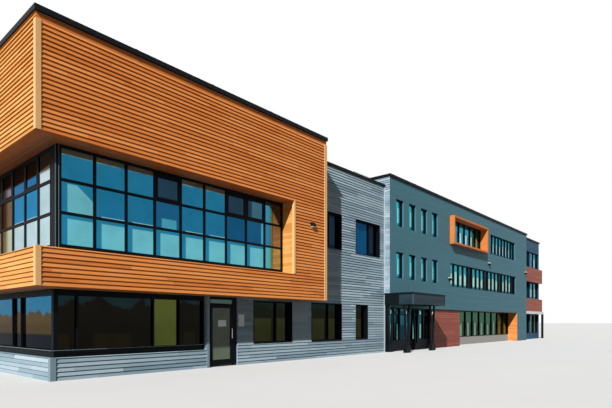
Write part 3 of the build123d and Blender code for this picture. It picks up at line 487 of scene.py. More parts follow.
# Boards, turned to their side of the building and added to what the tree was given
laid = add(lap, "GeometryNodeInstanceOnPoints",
           {"Points": points, "Instance": wedge, "Scale": held_span})
laid = add(lap, "GeometryNodeRealizeInstances", {"Geometry": laid})
for label in ("place", "span"):
    laid = add(lap, "GeometryNodeRemoveAttribute", {"Geometry": laid, "Name": label})
laid = add(lap, "GeometryNodeSetMaterial", {"Geometry": laid, "Material": given["Finish"]})
turned = add(lap, "FunctionNodeEulerToRotation", {0: given["Turn"]})
laid = add(lap, "GeometryNodeTransform",
           {"Geometry": laid, "Translation": given["Place"], "Rotation": turned})
hand_on(lap, given, laid)
print("lap board tree has", len(lap.nodes), "nodes")

# %% [markdown]
# A wall looks to the front, the near end, the back or the far end. Along each side a run coordinate
# grows to the right of somebody who faces the wall, and the tree's fields are written in it.

# %% Sides, openings and fields
TURNS = {"front": 0.0, "near": -90.0, "back": 180.0, "far": 90.0}
WELD = 0.1 * MM
ROUNDING = 1e-6


def run(side, corner):
    """The run coordinate of a corner on one side of the building."""
    return {"front": corner.x, "near": -corner.y, "back": -corner.x, "far": corner.y}[side]


def flat(side, box):
    """A box seen square on: left, right, low, high."""
    ends = sorted((run(side, box[0]), run(side, box[1])))
    return ends[0], ends[1], box[0].z, box[1].z


def wall(side, box, low, high, holes=()):
    """One side of a box, between two heights, as a wall to clad."""
    plane = {"front": box[0].y, "near": box[0].x, "back": box[1].y, "far": box[1].x}[side]
    return side, plane, (*flat(side, box)[:2], low, high), holes


def solids(node):
    """The boxes of the separate solids of a frame piece, in a fixed order."""
    work = bmesh.new()
    work.from_mesh(frame["nodes"][node].data)
    bmesh.ops.remove_doubles(work, verts=work.verts, dist=WELD)
    left, found = set(work.verts), []
    while left:
        stack, island = [left.pop()], []
        while stack:
            vertex = stack.pop()
            island.append(vertex.co.copy())
            for edge in vertex.link_edges:
                other = edge.other_vert(vertex)
                if other in left:
                    left.remove(other)
                    stack.append(other)
        found.append((Vector(map(min, zip(*island))), Vector(map(max, zip(*island)))))
    work.free()
    return sorted(found, key=lambda box: tuple(round(c, 4) for c in (*box[0], *box[1])))


def fields(area, holes, datum, exposure):
    """Split a wall round its holes into rectangles whose edges follow the rows of boards."""
    left, right, low, high = area
    holes = [h for h in holes if h[0] < right and h[1] > left and h[2] < high and h[3] > low]
    cuts = {low, high}
    for hole in holes:
        for edge in hole[2:]:
            line = datum + math.floor((edge - datum) / exposure + ROUNDING) * exposure
            cuts.update(min(max(cut, low), high) for cut in (line, line + exposure))
    cuts = sorted(cuts)
    for bottom, top in zip(cuts, cuts[1:]):
        if top - bottom < SMALLEST:
            continue
        start = left
        for hole in sorted(h for h in holes if h[2] < top - SMALLEST and h[3] > bottom + SMALLEST):
            yield start, hole[0], bottom, top
            yield max(hole[0], left), min(hole[1], right), bottom, hole[2]
            yield max(hole[0], left), min(hole[1], right), hole[3], top
            start = hole[1]
        yield start, right, bottom, top


# %% [markdown]
# Every wall's boards are one piece: an empty mesh that carries one modifier for each field. The
# evaluated object becomes a plain mesh, and the modifiers go. Rows of bars are laid in the same way
# further on.

# %% Laying the boards of a wall
EXPOSURE = 137 * MM
BOARD = 3660 * MM
BUTT = 40 * MM
TIP = 4 * MM
END_GAP = 3 * MM
BLOCK_FACES = 6


def piece(name, mesh, slot, body="building"):
    """Make a mesh a piece of the object that moves with a body."""
    made = bpy.data.objects.new(name, mesh)
    scene.collection.objects.link(made)
    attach(made, body)
    return made


def grow(name, slot, tree, every):
    """Give an empty mesh one modifier for each set of inputs, and make a piece of the result."""
    carrier = bpy.data.objects.new(name, bpy.data.meshes.new(name))
    scene.collection.objects.link(carrier)
    names = {item.name: item.identifier for item in tree.interface.items_tree if item.in_out == "INPUT"}
    for inputs in every:
        modifier = carrier.modifiers.new(tree.name, "NODES")
        modifier.node_group = tree
        for label, value in inputs.items():
            modifier[names[label]] = value
    mesh = bpy.data.meshes.new_from_object(carrier.evaluated_get(bpy.context.evaluated_depsgraph_get()))
    mesh.name = name
    bpy.data.objects.remove(carrier)
    print(name, "has", len(every), "modifiers and", len(mesh.polygons) // BLOCK_FACES, "blocks")
    piece(name, mesh, slot)


def clad(name, slot, walls, datum, seed, butt=BUTT, tip=TIP, exposure=EXPOSURE, dressed=None):
    """Lay boards on walls, each given as its side, the place of its face, its area and its holes.

    The boards wear the slot's finish, or the one named in dressed.
    """
    every = []
    for side, plane, area, holes in walls:
        place = (0.0, plane, 0.0) if side in ("front", "back") else (plane, 0.0, 0.0)
        for left, right, low, high in fields(area, holes, datum, exposure):
            if right - left >= SMALLEST and high - low >= SMALLEST:
                every.append({"Low": (left, 0.0, low), "High": (right, 1.0, high),
                              "Start": (area[0], 0.0, datum), "Board": (BOARD, 1.0, exposure),
                              "End Gap": END_GAP, "Butt": butt, "Tip": tip, "Seed": seed,
                              "Turn": (0.0, 0.0, math.radians(TURNS[side])), "Place": place,
                              "Finish": FINISHES[dressed or slot]})
    grow(name, slot, lap, every)


# %% [markdown]
# The frame's solids say where every wall, window and recess is. Their boxes are read once here, with
# a few names for the places that several walls share. OUTSIDE takes a hole past the edge of its wall.
# A sheet of glass belongs to a wall if it is thin and stands no deeper than DEEPEST behind its face.

# %% Places that the walls share
near_glass = solids("near_window_glass")
far_glass = solids("far_window_glass")
lower_band, upper_band = solids("timber_front")
front_pier, end_pier = sorted(solids("timber_piers"), key=lambda box: -box[1].x)
ribbon_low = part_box("ribbon_frame")[0]
x_near, y_front = near_corner.x, near_corner.y
link_low, link_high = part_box("link_front_wall")
far_low, far_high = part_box("far_wall_left")
end_low, end_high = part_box("end_front_wall")
back_low, back_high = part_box("far_back_wall")
near_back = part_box("near_back_wall")[1].y
door_low, door_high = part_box("side_door_frame")
wall_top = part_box("near_front_wall")[1].z
cladding_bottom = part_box("far_bands")[0].z
window_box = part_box("timber_window_box")
canopy_low, canopy_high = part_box("canopy_roof")
OUTSIDE = 1.0
DEEPEST = 250 * MM
THICKEST = 50 * MM
print("timber box from", timber_low[:], "to", timber_high[:])


def windows(side, plane, boxes):
    """The openings of one wall, from the sheets of glass that stand in it."""
    axis = 1 if side in ("front", "back") else 0
    return [flat(side, box) for box in boxes
            if abs(box[0][axis] - plane) < DEEPEST and box[1][axis] - box[0][axis] < THICKEST]


# %% [markdown]
# The panes stand for the frame's plain sheets of glass, in the same places. Each gets a fine arris, as
# cut glass has, and its view. A view is told in shares of the pane: the line's height at the left
# edge, its slope and its raggedness, and the core's left, right, low and high edges. A share of two
# lies off the pane, so it turns the line or the core off.

# %% Glass panes
ARRIS = 2 * MM
RAIL = 80 * MM
RIM = 280 * MM
OFF = 2.0


def view(main, upper="#000000", line=(OFF, 0.0, 0.0), core="#000000", area=(OFF,) * 4):
    """What a pane shows."""
    return {"main": linear(main), "upper": linear(upper), "line": line, "core": linear(core),
            "core_low": (area[0], area[2], 0.0), "core_high": (area[1], area[3], 0.0)}


def arrised(work, low, high, arris=ARRIS):
    """Add a block with fine arrises to a mesh in the making, and return its corners."""
    cube = bmesh.ops.create_cube(work, size=1.0)["verts"]
    for vertex in cube:
        vertex.co = [low[axis] + (vertex.co[axis] + 0.5) * (high[axis] - low[axis]) for axis in range(3)]
    edges = list({edge for vertex in cube for edge in vertex.link_edges})
    return bmesh.ops.bevel(work, geom=edges, offset=arris, affect="EDGES", segments=1)["verts"]


def facing(box):
    """The side of the building that an upright sheet faces."""
    low, high = box
    if high.x - low.x < high.y - low.y:
        return "near" if low.x < far_low.x else "far"
    return "front" if low.y < 0.0 else "back"


def middles(edges, low, high):
    """The middles of the bars whose edges are given, inside a stretch."""
    groups = []
    for edge in sorted(edge for edge in edges if low + RIM < edge < high - RIM):
        if groups and edge - groups[-1][-1] < RAIL:
            groups[-1].append(edge)
        else:
            groups.append([edge])
    return [low] + [(group[0] + group[-1]) / 2 for group in groups] + [high]


def grid(sheet, frames):
    """Where the bars in front of a sheet divide it: the upright lines and the level ones."""
    low, high = sheet
    side = facing(sheet)
    left, right = flat(side, sheet)[:2]
    corners = [vertex.co for node in frames for vertex in frame["nodes"][node].data.vertices
               if all(low[axis] - RAIL < vertex.co[axis] < high[axis] + RAIL for axis in range(3))]
    return (middles([run(side, corner) for corner in corners], left, right),
            middles([corner.z for corner in corners], low.z, high.z))


def glaze(node, frames, chosen):
    """Make the panes of a frame piece, with the view that a function chooses for each."""
    work = bmesh.new()
    vectors = {label: work.verts.layers.float_vector.new(label)
               for label in ("spot", "line", "core_low", "core_high")}
    tints = {label: work.verts.layers.float_color.new(label) for label in ("main", "upper", "core")}
    count = 0
    for sheet in solids(node):
        side = facing(sheet)
        uprights, levels = grid(sheet, frames)
        along = 0 if side in ("front", "back") else 1
        for row, (bottom, top) in enumerate(zip(levels, levels[1:])):
            for column, (left, right) in enumerate(zip(uprights, uprights[1:])):
                low, high = sheet[0].copy(), sheet[1].copy()
                sign = 1 if side in ("front", "far") else -1
                low[along], high[along] = sorted((sign * left, sign * right))
                low.z, high.z = bottom, top
                shown = chosen(side, sheet[0], column, row, len(uprights) - 1)
                for vertex in arrised(work, low, high):
                    share = (run(side, vertex.co) - left) / (right - left)
                    vertex[vectors["spot"]] = (share, (vertex.co.z - bottom) / (top - bottom), 0.0)
                    for label in ("line", "core_low", "core_high"):
                        vertex[vectors[label]] = shown[label]
                    for label, layer in tints.items():
                        vertex[layer] = shown[label]
                count += 1
    mesh = bpy.data.meshes.new(node + "_panes")
    work.to_mesh(mesh)
    work.free()
    mesh.materials.append(mirror_glass)
    made = piece(node + "_panes", mesh, "tinted_glass")
    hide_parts(node)
    print(made.name, "has", count, "panes")


# %% [markdown]
# The corner ribbon has three rows. The top one shows a painted reflection of the soffit's underside
# over painted blue sky, the middle one painted blue sky with a painted strip of sunlight at its foot,
# and the foot a pale panel behind the glass, painted as sunlit, with the frame's shadow painted at its
# left and top. On the first middle pane the overhang's shadow is painted with a slanting edge. Opening
# sashes are darker, and the panes of the end are painted brighter, as sunlit.

# %% Views of the corner ribbon
SASH = view("#20384A", "#2B2F30", (0.86, 0.0, 0.05))
# TOP and SASH: a painted reflection of the soffit above the line, over painted sky blue
TOP = view("#1D6D8E", "#84A09C", (0.74, 0.02, 0.1))
# MIDDLE: a painted strip of sunlight at the foot; FOOT: a painted sunlit panel, with the frame's painted
# shadow at left and top
MIDDLE = view("#1B6B8E", core="#86BCC8", area=(0.2, 1.0, -0.1, 0.09))
FOOT = view("#1F7797", core="#63B2BE", area=(0.2, 1.1, -0.1, 0.88))
FRONT_VIEWS = {
    "top": [TOP, TOP, TOP, SASH, TOP, TOP, SASH,
            view("#20384A", core="#3A6478", area=(0.3, 0.9, -0.1, 0.8)),
            view("#3387A8", "#59625A", (0.82, 0.0, 0.1), "#7C7D72", (0.35, 1.1, -0.1, 2.0))],
    # the first middle pane: painted sunlight below the slanting painted shadow edge of the overhang
    "middle": [view("#1F7192", "#1F7192", (1.36, -0.92, 0.05), "#62ABB6", (0.2, 1.1, -0.1, 0.92)),
               MIDDLE, MIDDLE, view("#18577C", core="#3E90A6", area=(0.25, 0.85, -0.1, 0.4)),
               MIDDLE, MIDDLE, view("#124E74"),
               view("#155277", core="#4A97AE", area=(0.8, 1.1, -0.1, 2.0)),
               view("#2A7BA0", core="#8F8780", area=(0.35, 1.1, -0.1, 2.0))],
    "foot": [FOOT] * 8 + [view("#52A3B0", core="#A3AA94", area=(0.4, 1.1, -0.1, 2.0))],
}
# the end faces the sun: painted sunlit blinds and sky, with the soffit's painted reflection brown at the
# top
BRIGHT = view("#1A90C8", core="#BCDCEE", area=(-0.1, 1.1, -0.1, 0.1))
PALE_END = view("#D2F0F6", core="#B8DCE6", area=(-0.1, 0.12, -0.1, 2.0))
BLUE_TOP = view("#1679B4", "#40341F", (0.34, 0.1, 0.1))
DIM_TOP = view("#2E3E50", "#2A2A26", (0.5, 0.1, 0.1))
END_VIEWS = {
    "top": [view("#DAF2F8", "#5A6862", (0.42, 0.1, 0.05)), BLUE_TOP, BLUE_TOP,
            view("#8C8496", "#2A2E38", (0.4, 0.1, 0.1)), DIM_TOP, DIM_TOP],
    "middle": [view("#CAE8F0"), BRIGHT, BRIGHT, view("#7D6449"), view("#5C5A54"), view("#4A5A68")],
    "foot": [PALE_END, PALE_END, PALE_END, view("#D6E0C4"), PALE_END, PALE_END],
}
ROWS = ("foot", "middle", "top")


def ribbon_view(side, low, column, row, columns):
    """Panes of the front are counted from the corner to the right, those of the end to the left."""
    if side == "front":
        return FRONT_VIEWS[ROWS[row]][column]
    return END_VIEWS[ROWS[row]][columns - 1 - column]


glaze("ribbon_glass", ("ribbon_frame", "ribbon_mullions"), ribbon_view)

# %% [markdown]
# The ground floor is dark inside: nearly black or olive on the front, with one lit pane, and a painted
# reflection of blue sky over brown on the end. The link's second upper window has one deep blue pane.
# Its other upper panes are shaded.

# %% Views of the near windows
# a painted reflection of blue sky over brown
BLUE_OVER_BROWN = view("#5A4A2C", "#2C82AC", (0.66, 0.0, 0.3), "#141E2A", (-0.1, 1.1, -0.1, 0.34))
DARK_ROOM = view("#15130E", "#17262A", (0.8, 0.0, 0.6), "#1E1A10", (0.2, 0.7, 0.0, 0.35))
LIT_ROOM = view("#15130E", "#8A9644", (0.93, 0.0, 0.0), "#4C5426", (0.05, 0.92, 0.03, 0.95))
OLIVE = view("#16180E", "#12201E", (0.85, 0.0, 0.5), "#2B2E18", (0.1, 0.85, -0.1, 0.6))
DEEP_BLUE = view("#084A72", "#083A5C", (0.75, 0.0, 0.4))
SHADED = view("#0C1822", core="#14283A", area=(0.1, 0.8, 0.1, 0.9))
FIRST_WINDOW_REACH = 2000 * MM
LIT_COLUMN = 2


def near_view(side, low, column, row, columns):
    """Pick by the place of the pane: end, back, link above, corner window, and windows below."""
    if side == "near":
        return BLUE_OVER_BROWN
    if side == "back":
        return OLIVE
    if low.z > wall_top:
        second = low.x > link_low.x + FIRST_WINDOW_REACH
        return DEEP_BLUE if second and column == 0 else SHADED
    if low.x < door_low.x:
        return LIT_ROOM if column == LIT_COLUMN else DARK_ROOM
    return OLIVE


glaze("near_window_glass", ("near_window_frames",), near_view)

# %% [markdown]
# The far wing's panes have narrow bright upright strips, and on its lower storeys a dark pane breaks
# the row at equal steps. The end block and the back repeat them. Panes below the cladding are the
# entrance's and the green ones of the recess, and slits are sheets of one pane.

# %% Views of the far windows
SLIT = view("#1F8C9C", "#30B2C2", (0.72, 0.0, 0.4), "#80DAE0", (0.45, 0.85, 0.14, 0.95))
STRIP = view("#2589A2", "#2FA0B8", (0.6, 0.0, 0.6), "#C4E8E6", (0.12, 0.5, 0.1, 0.97))
STRIP_LOW = view("#2C8E98", "#34A4B2", (0.6, 0.0, 0.6), "#B4E2D8", (0.3, 0.74, 0.12, 0.97))
DEEP = view("#12242C", "#18303A", (0.7, 0.0, 0.5))
GREEN_PANE = view("#2C4A34", "#3F6A52", (0.55, 0.0, 0.6), "#86A894", (0.3, 0.62, 0.0, 0.92))
ENTRANCE_PANE = view("#183844", "#1F5A66", (0.6, 0.0, 0.5), "#7FC4BE", (0.55, 0.8, 0.05, 0.9))
BREAK = 4
HALF_STOREY = 1600 * MM
top_storey = window_box[0].z - HALF_STOREY
red_low, red_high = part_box("red_wall")


def far_view(side, low, column, row, columns):
    """Pick by storey and by the order of the pane."""
    if low.z < cladding_bottom:
        return ENTRANCE_PANE if low.x < red_low.x else GREEN_PANE
    if columns == 1 and side == "front":
        return SLIT
    if low.z > top_storey:
        return STRIP
    return DEEP if column % BREAK == 0 and column > 0 else STRIP_LOW


glaze("far_window_glass", ("far_window_frames",), far_view)

# %% [markdown]
# Oiled cedar clads the box that stands out over the ground floor. Its front, end, back and far side
# are clad, and so are the two cheeks of the deep recess round the corner window. The front boards
# stop short of the coping, and that open strip lies in the coping's shadow as a dark band.

# %% Cedar walls
CEDAR_BUTT = 44 * MM
FRIEZE_GAP = 200 * MM
CEDAR_EXPOSURE = 133 * MM
CHEEK_BUTT = 14 * MM
cedar = {"butt": CEDAR_BUTT, "exposure": CEDAR_EXPOSURE}
cedar_box = (timber_low, Vector((timber_high.x, near_back, timber_high.z)))
box_foot, frieze = timber_low.z, timber_high.z - FRIEZE_GAP
opening = (lower_band[1].z, upper_band[0].z)
right_cheek = front_pier[0].x
end_cheek = end_pier[0].y
clad("cedar_front_boards", "cedar_boards",
     [wall("front", cedar_box, box_foot, frieze, [(timber_low.x - OUTSIDE, right_cheek, *opening)])],
     box_foot, seed=3, **cedar)
# the end wears the paler cedar, which is painted sunlight
clad("cedar_end_boards", "cedar_boards",
     [wall("near", cedar_box, box_foot, timber_high.z,
           [(-end_cheek, -timber_low.y + OUTSIDE, *opening)])],
     box_foot, seed=4, dressed="sunlit_cedar", **cedar)
clad("cedar_back_boards", "cedar_boards",
     [wall("back", cedar_box, wall_top, timber_high.z, windows("back", near_back, near_glass))],
     box_foot, seed=5, **cedar)
clad("cedar_side_boards", "cedar_boards",
     [wall("far", cedar_box, box_foot, timber_high.z,
           [(y_front, near_back + OUTSIDE, 0.0, link_high.z)])],
     box_foot, seed=6, **cedar)
# the cheeks wear the paler cedar, which is painted sunlight
clad("cedar_cheek_boards", "cedar_boards",
     [("near", right_cheek, (-ribbon_low.y, -timber_low.y, *opening), []),
      ("front", end_cheek, (timber_low.x, ribbon_low.x, *opening), [])],
     box_foot, seed=7, butt=CHEEK_BUTT, exposure=CEDAR_EXPOSURE, dressed="sunlit_cedar")

# %% [markdown]
# The ground floor and the link wear the same board, factory coated in blue-grey. The rows start at
# the ground on every wall, so they meet round the corners.

# %% Grey walls
CORNER_REACH = 200 * MM
grey_front = (door_high.x, link_high.x, 0.0, link_high.z)
grey_holes = windows("front", y_front, near_glass)
clad("grey_front_boards", "grey_siding",
     [("front", y_front, (x_near, door_low.x, 0.0, wall_top),
       [(x_near - OUTSIDE, hole[1], hole[2], wall_top + OUTSIDE)
        for hole in grey_holes if hole[0] < x_near + CORNER_REACH]),
      ("front", y_front, grey_front,
       grey_holes + [(door_high.x - OUTSIDE, link_low.x, wall_top, link_high.z + OUTSIDE)])],
     0.0, seed=11)
clad("grey_end_boards", "grey_siding",
     [("near", x_near, (-near_back, -y_front, 0.0, wall_top),
       [(hole[0], -y_front + OUTSIDE, hole[2], wall_top + OUTSIDE)
        for hole in windows("near", x_near, near_glass)])], 0.0, seed=12)
clad("grey_back_boards", "grey_siding",
     [("back", near_back, (-far_low.x, -x_near, 0.0, link_high.z),
       [hole for hole in windows("back", near_back, near_glass)
        if hole[3] < wall_top or hole[1] < -link_low.x]
       + [(-link_low.x, -x_near + OUTSIDE, wall_top, link_high.z + OUTSIDE)])], 0.0, seed=13)

# %% [markdown]
# The far wing and the end block are clad in coated boards too, in slate and in a darker slate. They
# are thinner, so their rows are quiet at a distance. The wing's near side is grey where it shows past
# the link, and the side of its ground-floor recess is cedar.

# %% Slate walls
THIN_BUTT = 4 * MM
THIN_TIP = 2 * MM
thin = {"butt": THIN_BUTT, "tip": THIN_TIP}
ground_glass = [g for g in far_glass if g[1].z < cladding_bottom + MM and facing(g) == "front"
                and g[1].x < end_low.x]
recess = max(ground_glass, key=lambda box: box[1].x)
clad("slate_front_boards", "slate_panels",
     [("front", far_low.y, (far_low.x, end_low.x, 0.0, far_high.z),
       windows("front", far_low.y, [g for g in far_glass if g[1].z > cladding_bottom + MM])
       + [(window_box[0].x, window_box[1].x, window_box[0].z, window_box[1].z),
          (far_low.x - OUTSIDE, recess[1].x, -OUTSIDE, cladding_bottom)])],
     cladding_bottom, seed=21, **thin)
clad("slate_end_boards", "slate_panels",
     [("far", end_low.x, (far_low.y, end_low.y, 0.0, far_high.z), [])],
     cladding_bottom, seed=22, **thin)
clad("grey_return_boards", "grey_siding",
     [("near", far_low.x, (-back_high.y, -far_low.y, 0.0, far_high.z),
       [(-near_back, -y_front, -OUTSIDE, link_high.z),
        (-y_front, -far_low.y + OUTSIDE, -OUTSIDE, canopy_low.z)])], 0.0, seed=25)
clad("slate_back_boards", "slate_panels",
     [wall("back", (back_low, back_high), 0.0, back_high.z, windows("back", back_high.y, far_glass))],
     cladding_bottom, seed=23, **thin)
clad("cedar_return_boards", "cedar_boards",
     [("near", recess[1].x, (-recess[0].y, -far_low.y, 0.0, cladding_bottom), [])], 0.0, seed=26, **thin)
red_bands = solids("end_red_bands")
clad("dark_end_boards", "dark_panels",
     [wall("front", (end_low, end_high), 0.0, end_high.z,
           windows("front", end_low.y, far_glass) + [flat("front", band) for band in red_bands]),
      ("far", end_high.x, (end_low.y, back_high.y, 0.0, end_high.z),
       windows("far", end_high.x, far_glass))], cladding_bottom, seed=24, **thin)

# %% [markdown]
# Red-brown boards pick out the wall beside the entrance and the two bands of the end block. The
# canopy's deep fascia is boarded in charcoal.

# %% Red and charcoal boards
RED_BUTT = 28 * MM
clad("red_wall_boards", "red_siding",
     [wall(side, (red_low, red_high), 0.0, red_high.z) for side in ("front", "near", "far")],
     0.0, seed=31, butt=RED_BUTT)
clad("red_band_boards", "red_siding",
     [wall(side, band, band[0].z, band[1].z) for band in red_bands for side in ("front", "far")],
     red_bands[0][0].z, seed=32, **thin)
CANOPY_LIP = 24 * MM
CANOPY_EDGE = 80 * MM
CANOPY_END_BOARDS = 930 * MM
fascia_top = canopy_high.z - CANOPY_EDGE
clad("canopy_boards", "canopy_metal",
     [("front", canopy_low.y + CANOPY_LIP,
       (canopy_low.x + CANOPY_LIP, canopy_high.x - CANOPY_LIP, canopy_low.z, fascia_top), []),
      ("near", canopy_low.x + CANOPY_LIP, (-canopy_low.y - CANOPY_END_BOARDS,
                                           -canopy_low.y - CANOPY_LIP, canopy_low.z, fascia_top), []),
      ("far", canopy_high.x - CANOPY_LIP, (canopy_low.y + CANOPY_LIP, far_low.y,
                                           canopy_low.z, fascia_top), [])],
     canopy_low.z, seed=33, **thin)

# %% [markdown]
# Boards end at corner posts, trims and liners, which stand a little proud of the laps so that no cut
# end shows. They are plain planed timber or folded metal with eased edges: blocks with fine arrises,
# joined in one piece for each finish. Their places all come from the walls that they close.

# %% Posts, trims and liners
def blocks(name, slot, boxes, dressed=None, body="building"):
    """Join arrised blocks in one piece, in the slot's finish or a finer one."""
    work = bmesh.new()
    for low, high in boxes:
        arrised(work, low, high)
    mesh = bpy.data.meshes.new(name)
    work.to_mesh(mesh)
    work.free()
    mesh.materials.append(FINISHES[dressed or slot])
    print(name, "has", len(boxes), "blocks")
    piece(name, mesh, slot, body)


PROUD = 50 * MM
POST = 100 * MM
CHEEK_POST = 80 * MM
END_POST = 135 * MM
x_box, y_box, x_box_end = timber_low.x, timber_low.y, timber_high.x
posts = []
for low_z, high_z in ((box_foot, opening[0]), (opening[1], frieze)):
    posts.append(((x_box - PROUD, y_box - PROUD, low_z), (x_box + POST, y_box, high_z)))
    posts.append(((x_box - PROUD, y_box, low_z), (x_box, y_box + POST, high_z)))
posts.append(((x_box_end - END_POST, y_box - PROUD, box_foot), (x_box_end + PROUD, y_box, frieze)))
posts.append(((x_box_end, y_box, box_foot), (x_box_end + PROUD, y_box + POST, timber_high.z)))
for low_x, low_y, high_x, high_y in ((right_cheek - PROUD, y_box - PROUD, right_cheek + PROUD, y_box),
                                     (right_cheek - PROUD, y_box, right_cheek, y_box + CHEEK_POST),
                                     (x_box - PROUD, end_cheek - PROUD, x_box, end_cheek + POST)):
    posts.append(((low_x, low_y, opening[0]), (high_x, high_y, opening[1])))
blocks("cedar_posts", "cedar_boards", posts, "cedar_trim")

BASE_POST = 120 * MM
base_top = near_glass[0][0].z
blocks("grey_corner_boards", "grey_siding",
       [((x_near - PROUD, y_front - PROUD, 0.0), (x_near + BASE_POST, y_front, base_top)),
        ((x_near - PROUD, y_front, 0.0), (x_near, y_front + POST, base_top)),
        ((door_low.x - BASE_POST, y_front - PROUD, 0.0), (door_low.x, y_front, wall_top - SMALLEST))],
       "grey_trim")
blocks("pale_corner_boards", "grey_siding",
       [((link_high.x - POST, y_front - PROUD, 0.0), (link_high.x, y_front, link_high.z)),
        ((red_low.x - POST / 2, red_low.y - PROUD, 0.0), (red_low.x + POST / 2, red_low.y, red_high.z))],
       "pale_trim")

LINER = 25 * MM
LINER_DEPTH = 178 * MM
liners = []
for left, right, low_z, high_z in grey_holes:
    if left < door_low.x:
        continue
    front, back = y_front - PROUD, y_front + LINER_DEPTH
    liners += [((left, front, low_z), (left + LINER, back, high_z)),
               ((right - LINER, front, low_z), (right, back, high_z)),
               ((left + LINER, front, low_z), (right - LINER, back, low_z + LINER)),
               ((left + LINER, front, high_z - LINER), (right - LINER, back, high_z))]
blocks("window_liners", "black_aluminium", liners)

# The sill noses and the two beads on the ribbon's corner post are pale grey: painted highlights where
# the sun catches their edges.
NOSE = 12 * MM
SILL_RISE = 220 * MM
END_BEAD = 24 * MM
FRONT_BEAD = 72 * MM
sill = base_top + SILL_RISE
noses = [((x_near - NOSE, y_front - NOSE, sill - NOSE),
          (door_low.x - BASE_POST, y_front + PROUD, sill)),
         ((x_near - NOSE, y_front + PROUD, sill - NOSE),
          (x_near + PROUD, near_glass[1][1].y, sill)),
         ((ribbon_low.x - NOSE, ribbon_low.y + END_BEAD, opening[0]),
          (ribbon_low.x, ribbon_low.y + END_BEAD + NOSE, opening[1])),
         ((ribbon_low.x + FRONT_BEAD, ribbon_low.y - NOSE, opening[0]),
          (ribbon_low.x + FRONT_BEAD + NOSE, ribbon_low.y, opening[1]))]
blocks("sill_noses", "black_aluminium", noses, "sill_nose")

# %% [markdown]
# The canopy has a black metal cap on its top edge, a black panel on the rear of its near end, which
# stands for the shade under its roof, and corner boards where the charcoal boards meet. Black metal
# shoes cover the piers that its columns stand on, and a kick plate covers the plinth. Black plates on
# the near side of the glazed entrance are painted shade.

# %% Canopy edges
CAP = 8 * MM
CORNER_BOARD = 70 * MM
lip = CANOPY_LIP - CAP
blocks("canopy_caps_and_painted_shade", "black_metal",
       [((canopy_low.x - CAP, canopy_low.y - CAP, fascia_top),
         (canopy_high.x + CAP, canopy_low.y + PROUD, canopy_high.z + CAP)),
        ((canopy_low.x - CAP, canopy_low.y + PROUD, fascia_top),
         (canopy_low.x + PROUD, y_front - PROUD, canopy_high.z + CAP)),
        ((canopy_high.x - PROUD, canopy_low.y + PROUD, fascia_top),
         (canopy_high.x + CAP, far_low.y, canopy_high.z + CAP)),
        # painted shade: a black panel on the rear of the near end, where the roof's underside lies in
        # shade
        ((canopy_low.x + lip, canopy_low.y + CANOPY_END_BOARDS, canopy_low.z),
         (canopy_low.x + PROUD, y_front - PROUD, fascia_top)),
        ((canopy_high.x - CORNER_BOARD, canopy_low.y + lip, canopy_low.z),
         (canopy_high.x - lip, canopy_low.y + CORNER_BOARD, fascia_top))])
blocks("canopy_corner_board", "canopy_metal",
       [((canopy_low.x + lip, canopy_low.y + lip, canopy_low.z),
         (canopy_low.x + CORNER_BOARD, canopy_low.y + CORNER_BOARD, fascia_top))], "canopy_trim")

SHOE = 10 * MM
SIDE_PLATE = 40 * MM
WIDEST_PIER = 500 * MM
footings = solids("foundations")
piers = [box for box in footings if box[1].x - box[0].x < WIDEST_PIER]
lobby = min(ground_glass, key=lambda box: box[0].x)
slab_y = min(box[0].y for box in footings if box not in piers)
blocks("column_shoes", "black_metal",
       [((low.x - SHOE, low.y - SHOE, low.z), (high.x + SHOE, high.y + SHOE, high.z))
        for low, high in piers])
blocks("entrance_kick_plate_and_painted_shade", "black_metal",
       [((lobby[0].x, slab_y - SHOE, 0.0), (lobby[1].x, slab_y, lobby[0].z)),
        # painted shade: black plates on the near side of the glazed entrance; the first block is the
        # real kick plate
        ((far_low.x - SHOE, slab_y - SIDE_PLATE, 0.0), (lobby[0].x, lobby[0].y, cladding_bottom)),
        ((far_low.x - SHOE, far_low.y, cladding_bottom), (far_low.x, y_front, canopy_low.z))])

# %% [markdown]
# Lamps have a lens or a cap in warm white. The side door carries a bare notice on its glass and, on
# the inside, a push bar. Both turn with the leaf, so they ride on the door's body. The pane in the
# transom over it is fixed.

# %% Lamps and door
LENS = 30 * MM
lamps = solids("wall_lamps")
lenses = [((low.x + NOSE, low.y + NOSE, low.z - LENS), (high.x - NOSE, high.y, low.z))
          for low, high in lamps[:1]]
lenses += [((low.x - NOSE, low.y - NOSE, high.z - LENS), (high.x + NOSE, high.y, high.z + NOSE))
           for low, high in lamps[1:]]
blocks("lamp_lenses", "white_metal", lenses, "lamp_lens")

NOTICE = ((0.32, 0.64), (0.78, 0.765))
CARD = 2 * MM
sheet_low, sheet_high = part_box("side_door_glass")
leaf_low, leaf_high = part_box("side_door_leaf")
reach = sheet_high - sheet_low
left_foot, right_head = [(sheet_low.x + across * reach.x, sheet_low.z + up * reach.z)
                         for across, up in NOTICE]
blocks("door_notice", "white_metal",
       [((left_foot[0], sheet_low.y - CARD, left_foot[1]), (right_head[0], sheet_low.y, right_head[1]))],
       "notice_card", "side_door")

TRANSOM_RAIL = 60 * MM
TRANSOM_HEAD = 120 * MM
blocks("transom_pane", "tinted_glass",
       [((leaf_low.x, sheet_low.y, leaf_high.z + TRANSOM_RAIL),
         (leaf_high.x, sheet_high.y, door_high.z - TRANSOM_HEAD))], "transom_glass")

PUSH_BAR = 30 * MM
BAR_HEIGHT = 0.47
bar_z = sheet_low.z + BAR_HEIGHT * reach.z
blocks("door_push_bar", "black_aluminium",
       [((sheet_low.x - PUSH_BAR, leaf_high.y, bar_z),
         (sheet_high.x + PUSH_BAR, leaf_high.y + PUSH_BAR, bar_z + PUSH_BAR))], body="side_door")

# %% [markdown]
# Copings come in lengths of about three metres, and a thin cover plate hides each joint. The roof
# plant has louvres. Both are rows of equal bars, so one small tree lays a row: a line of points, a
# block on each and a finish. The rows of one piece are modifiers on one empty mesh, as the boards are.

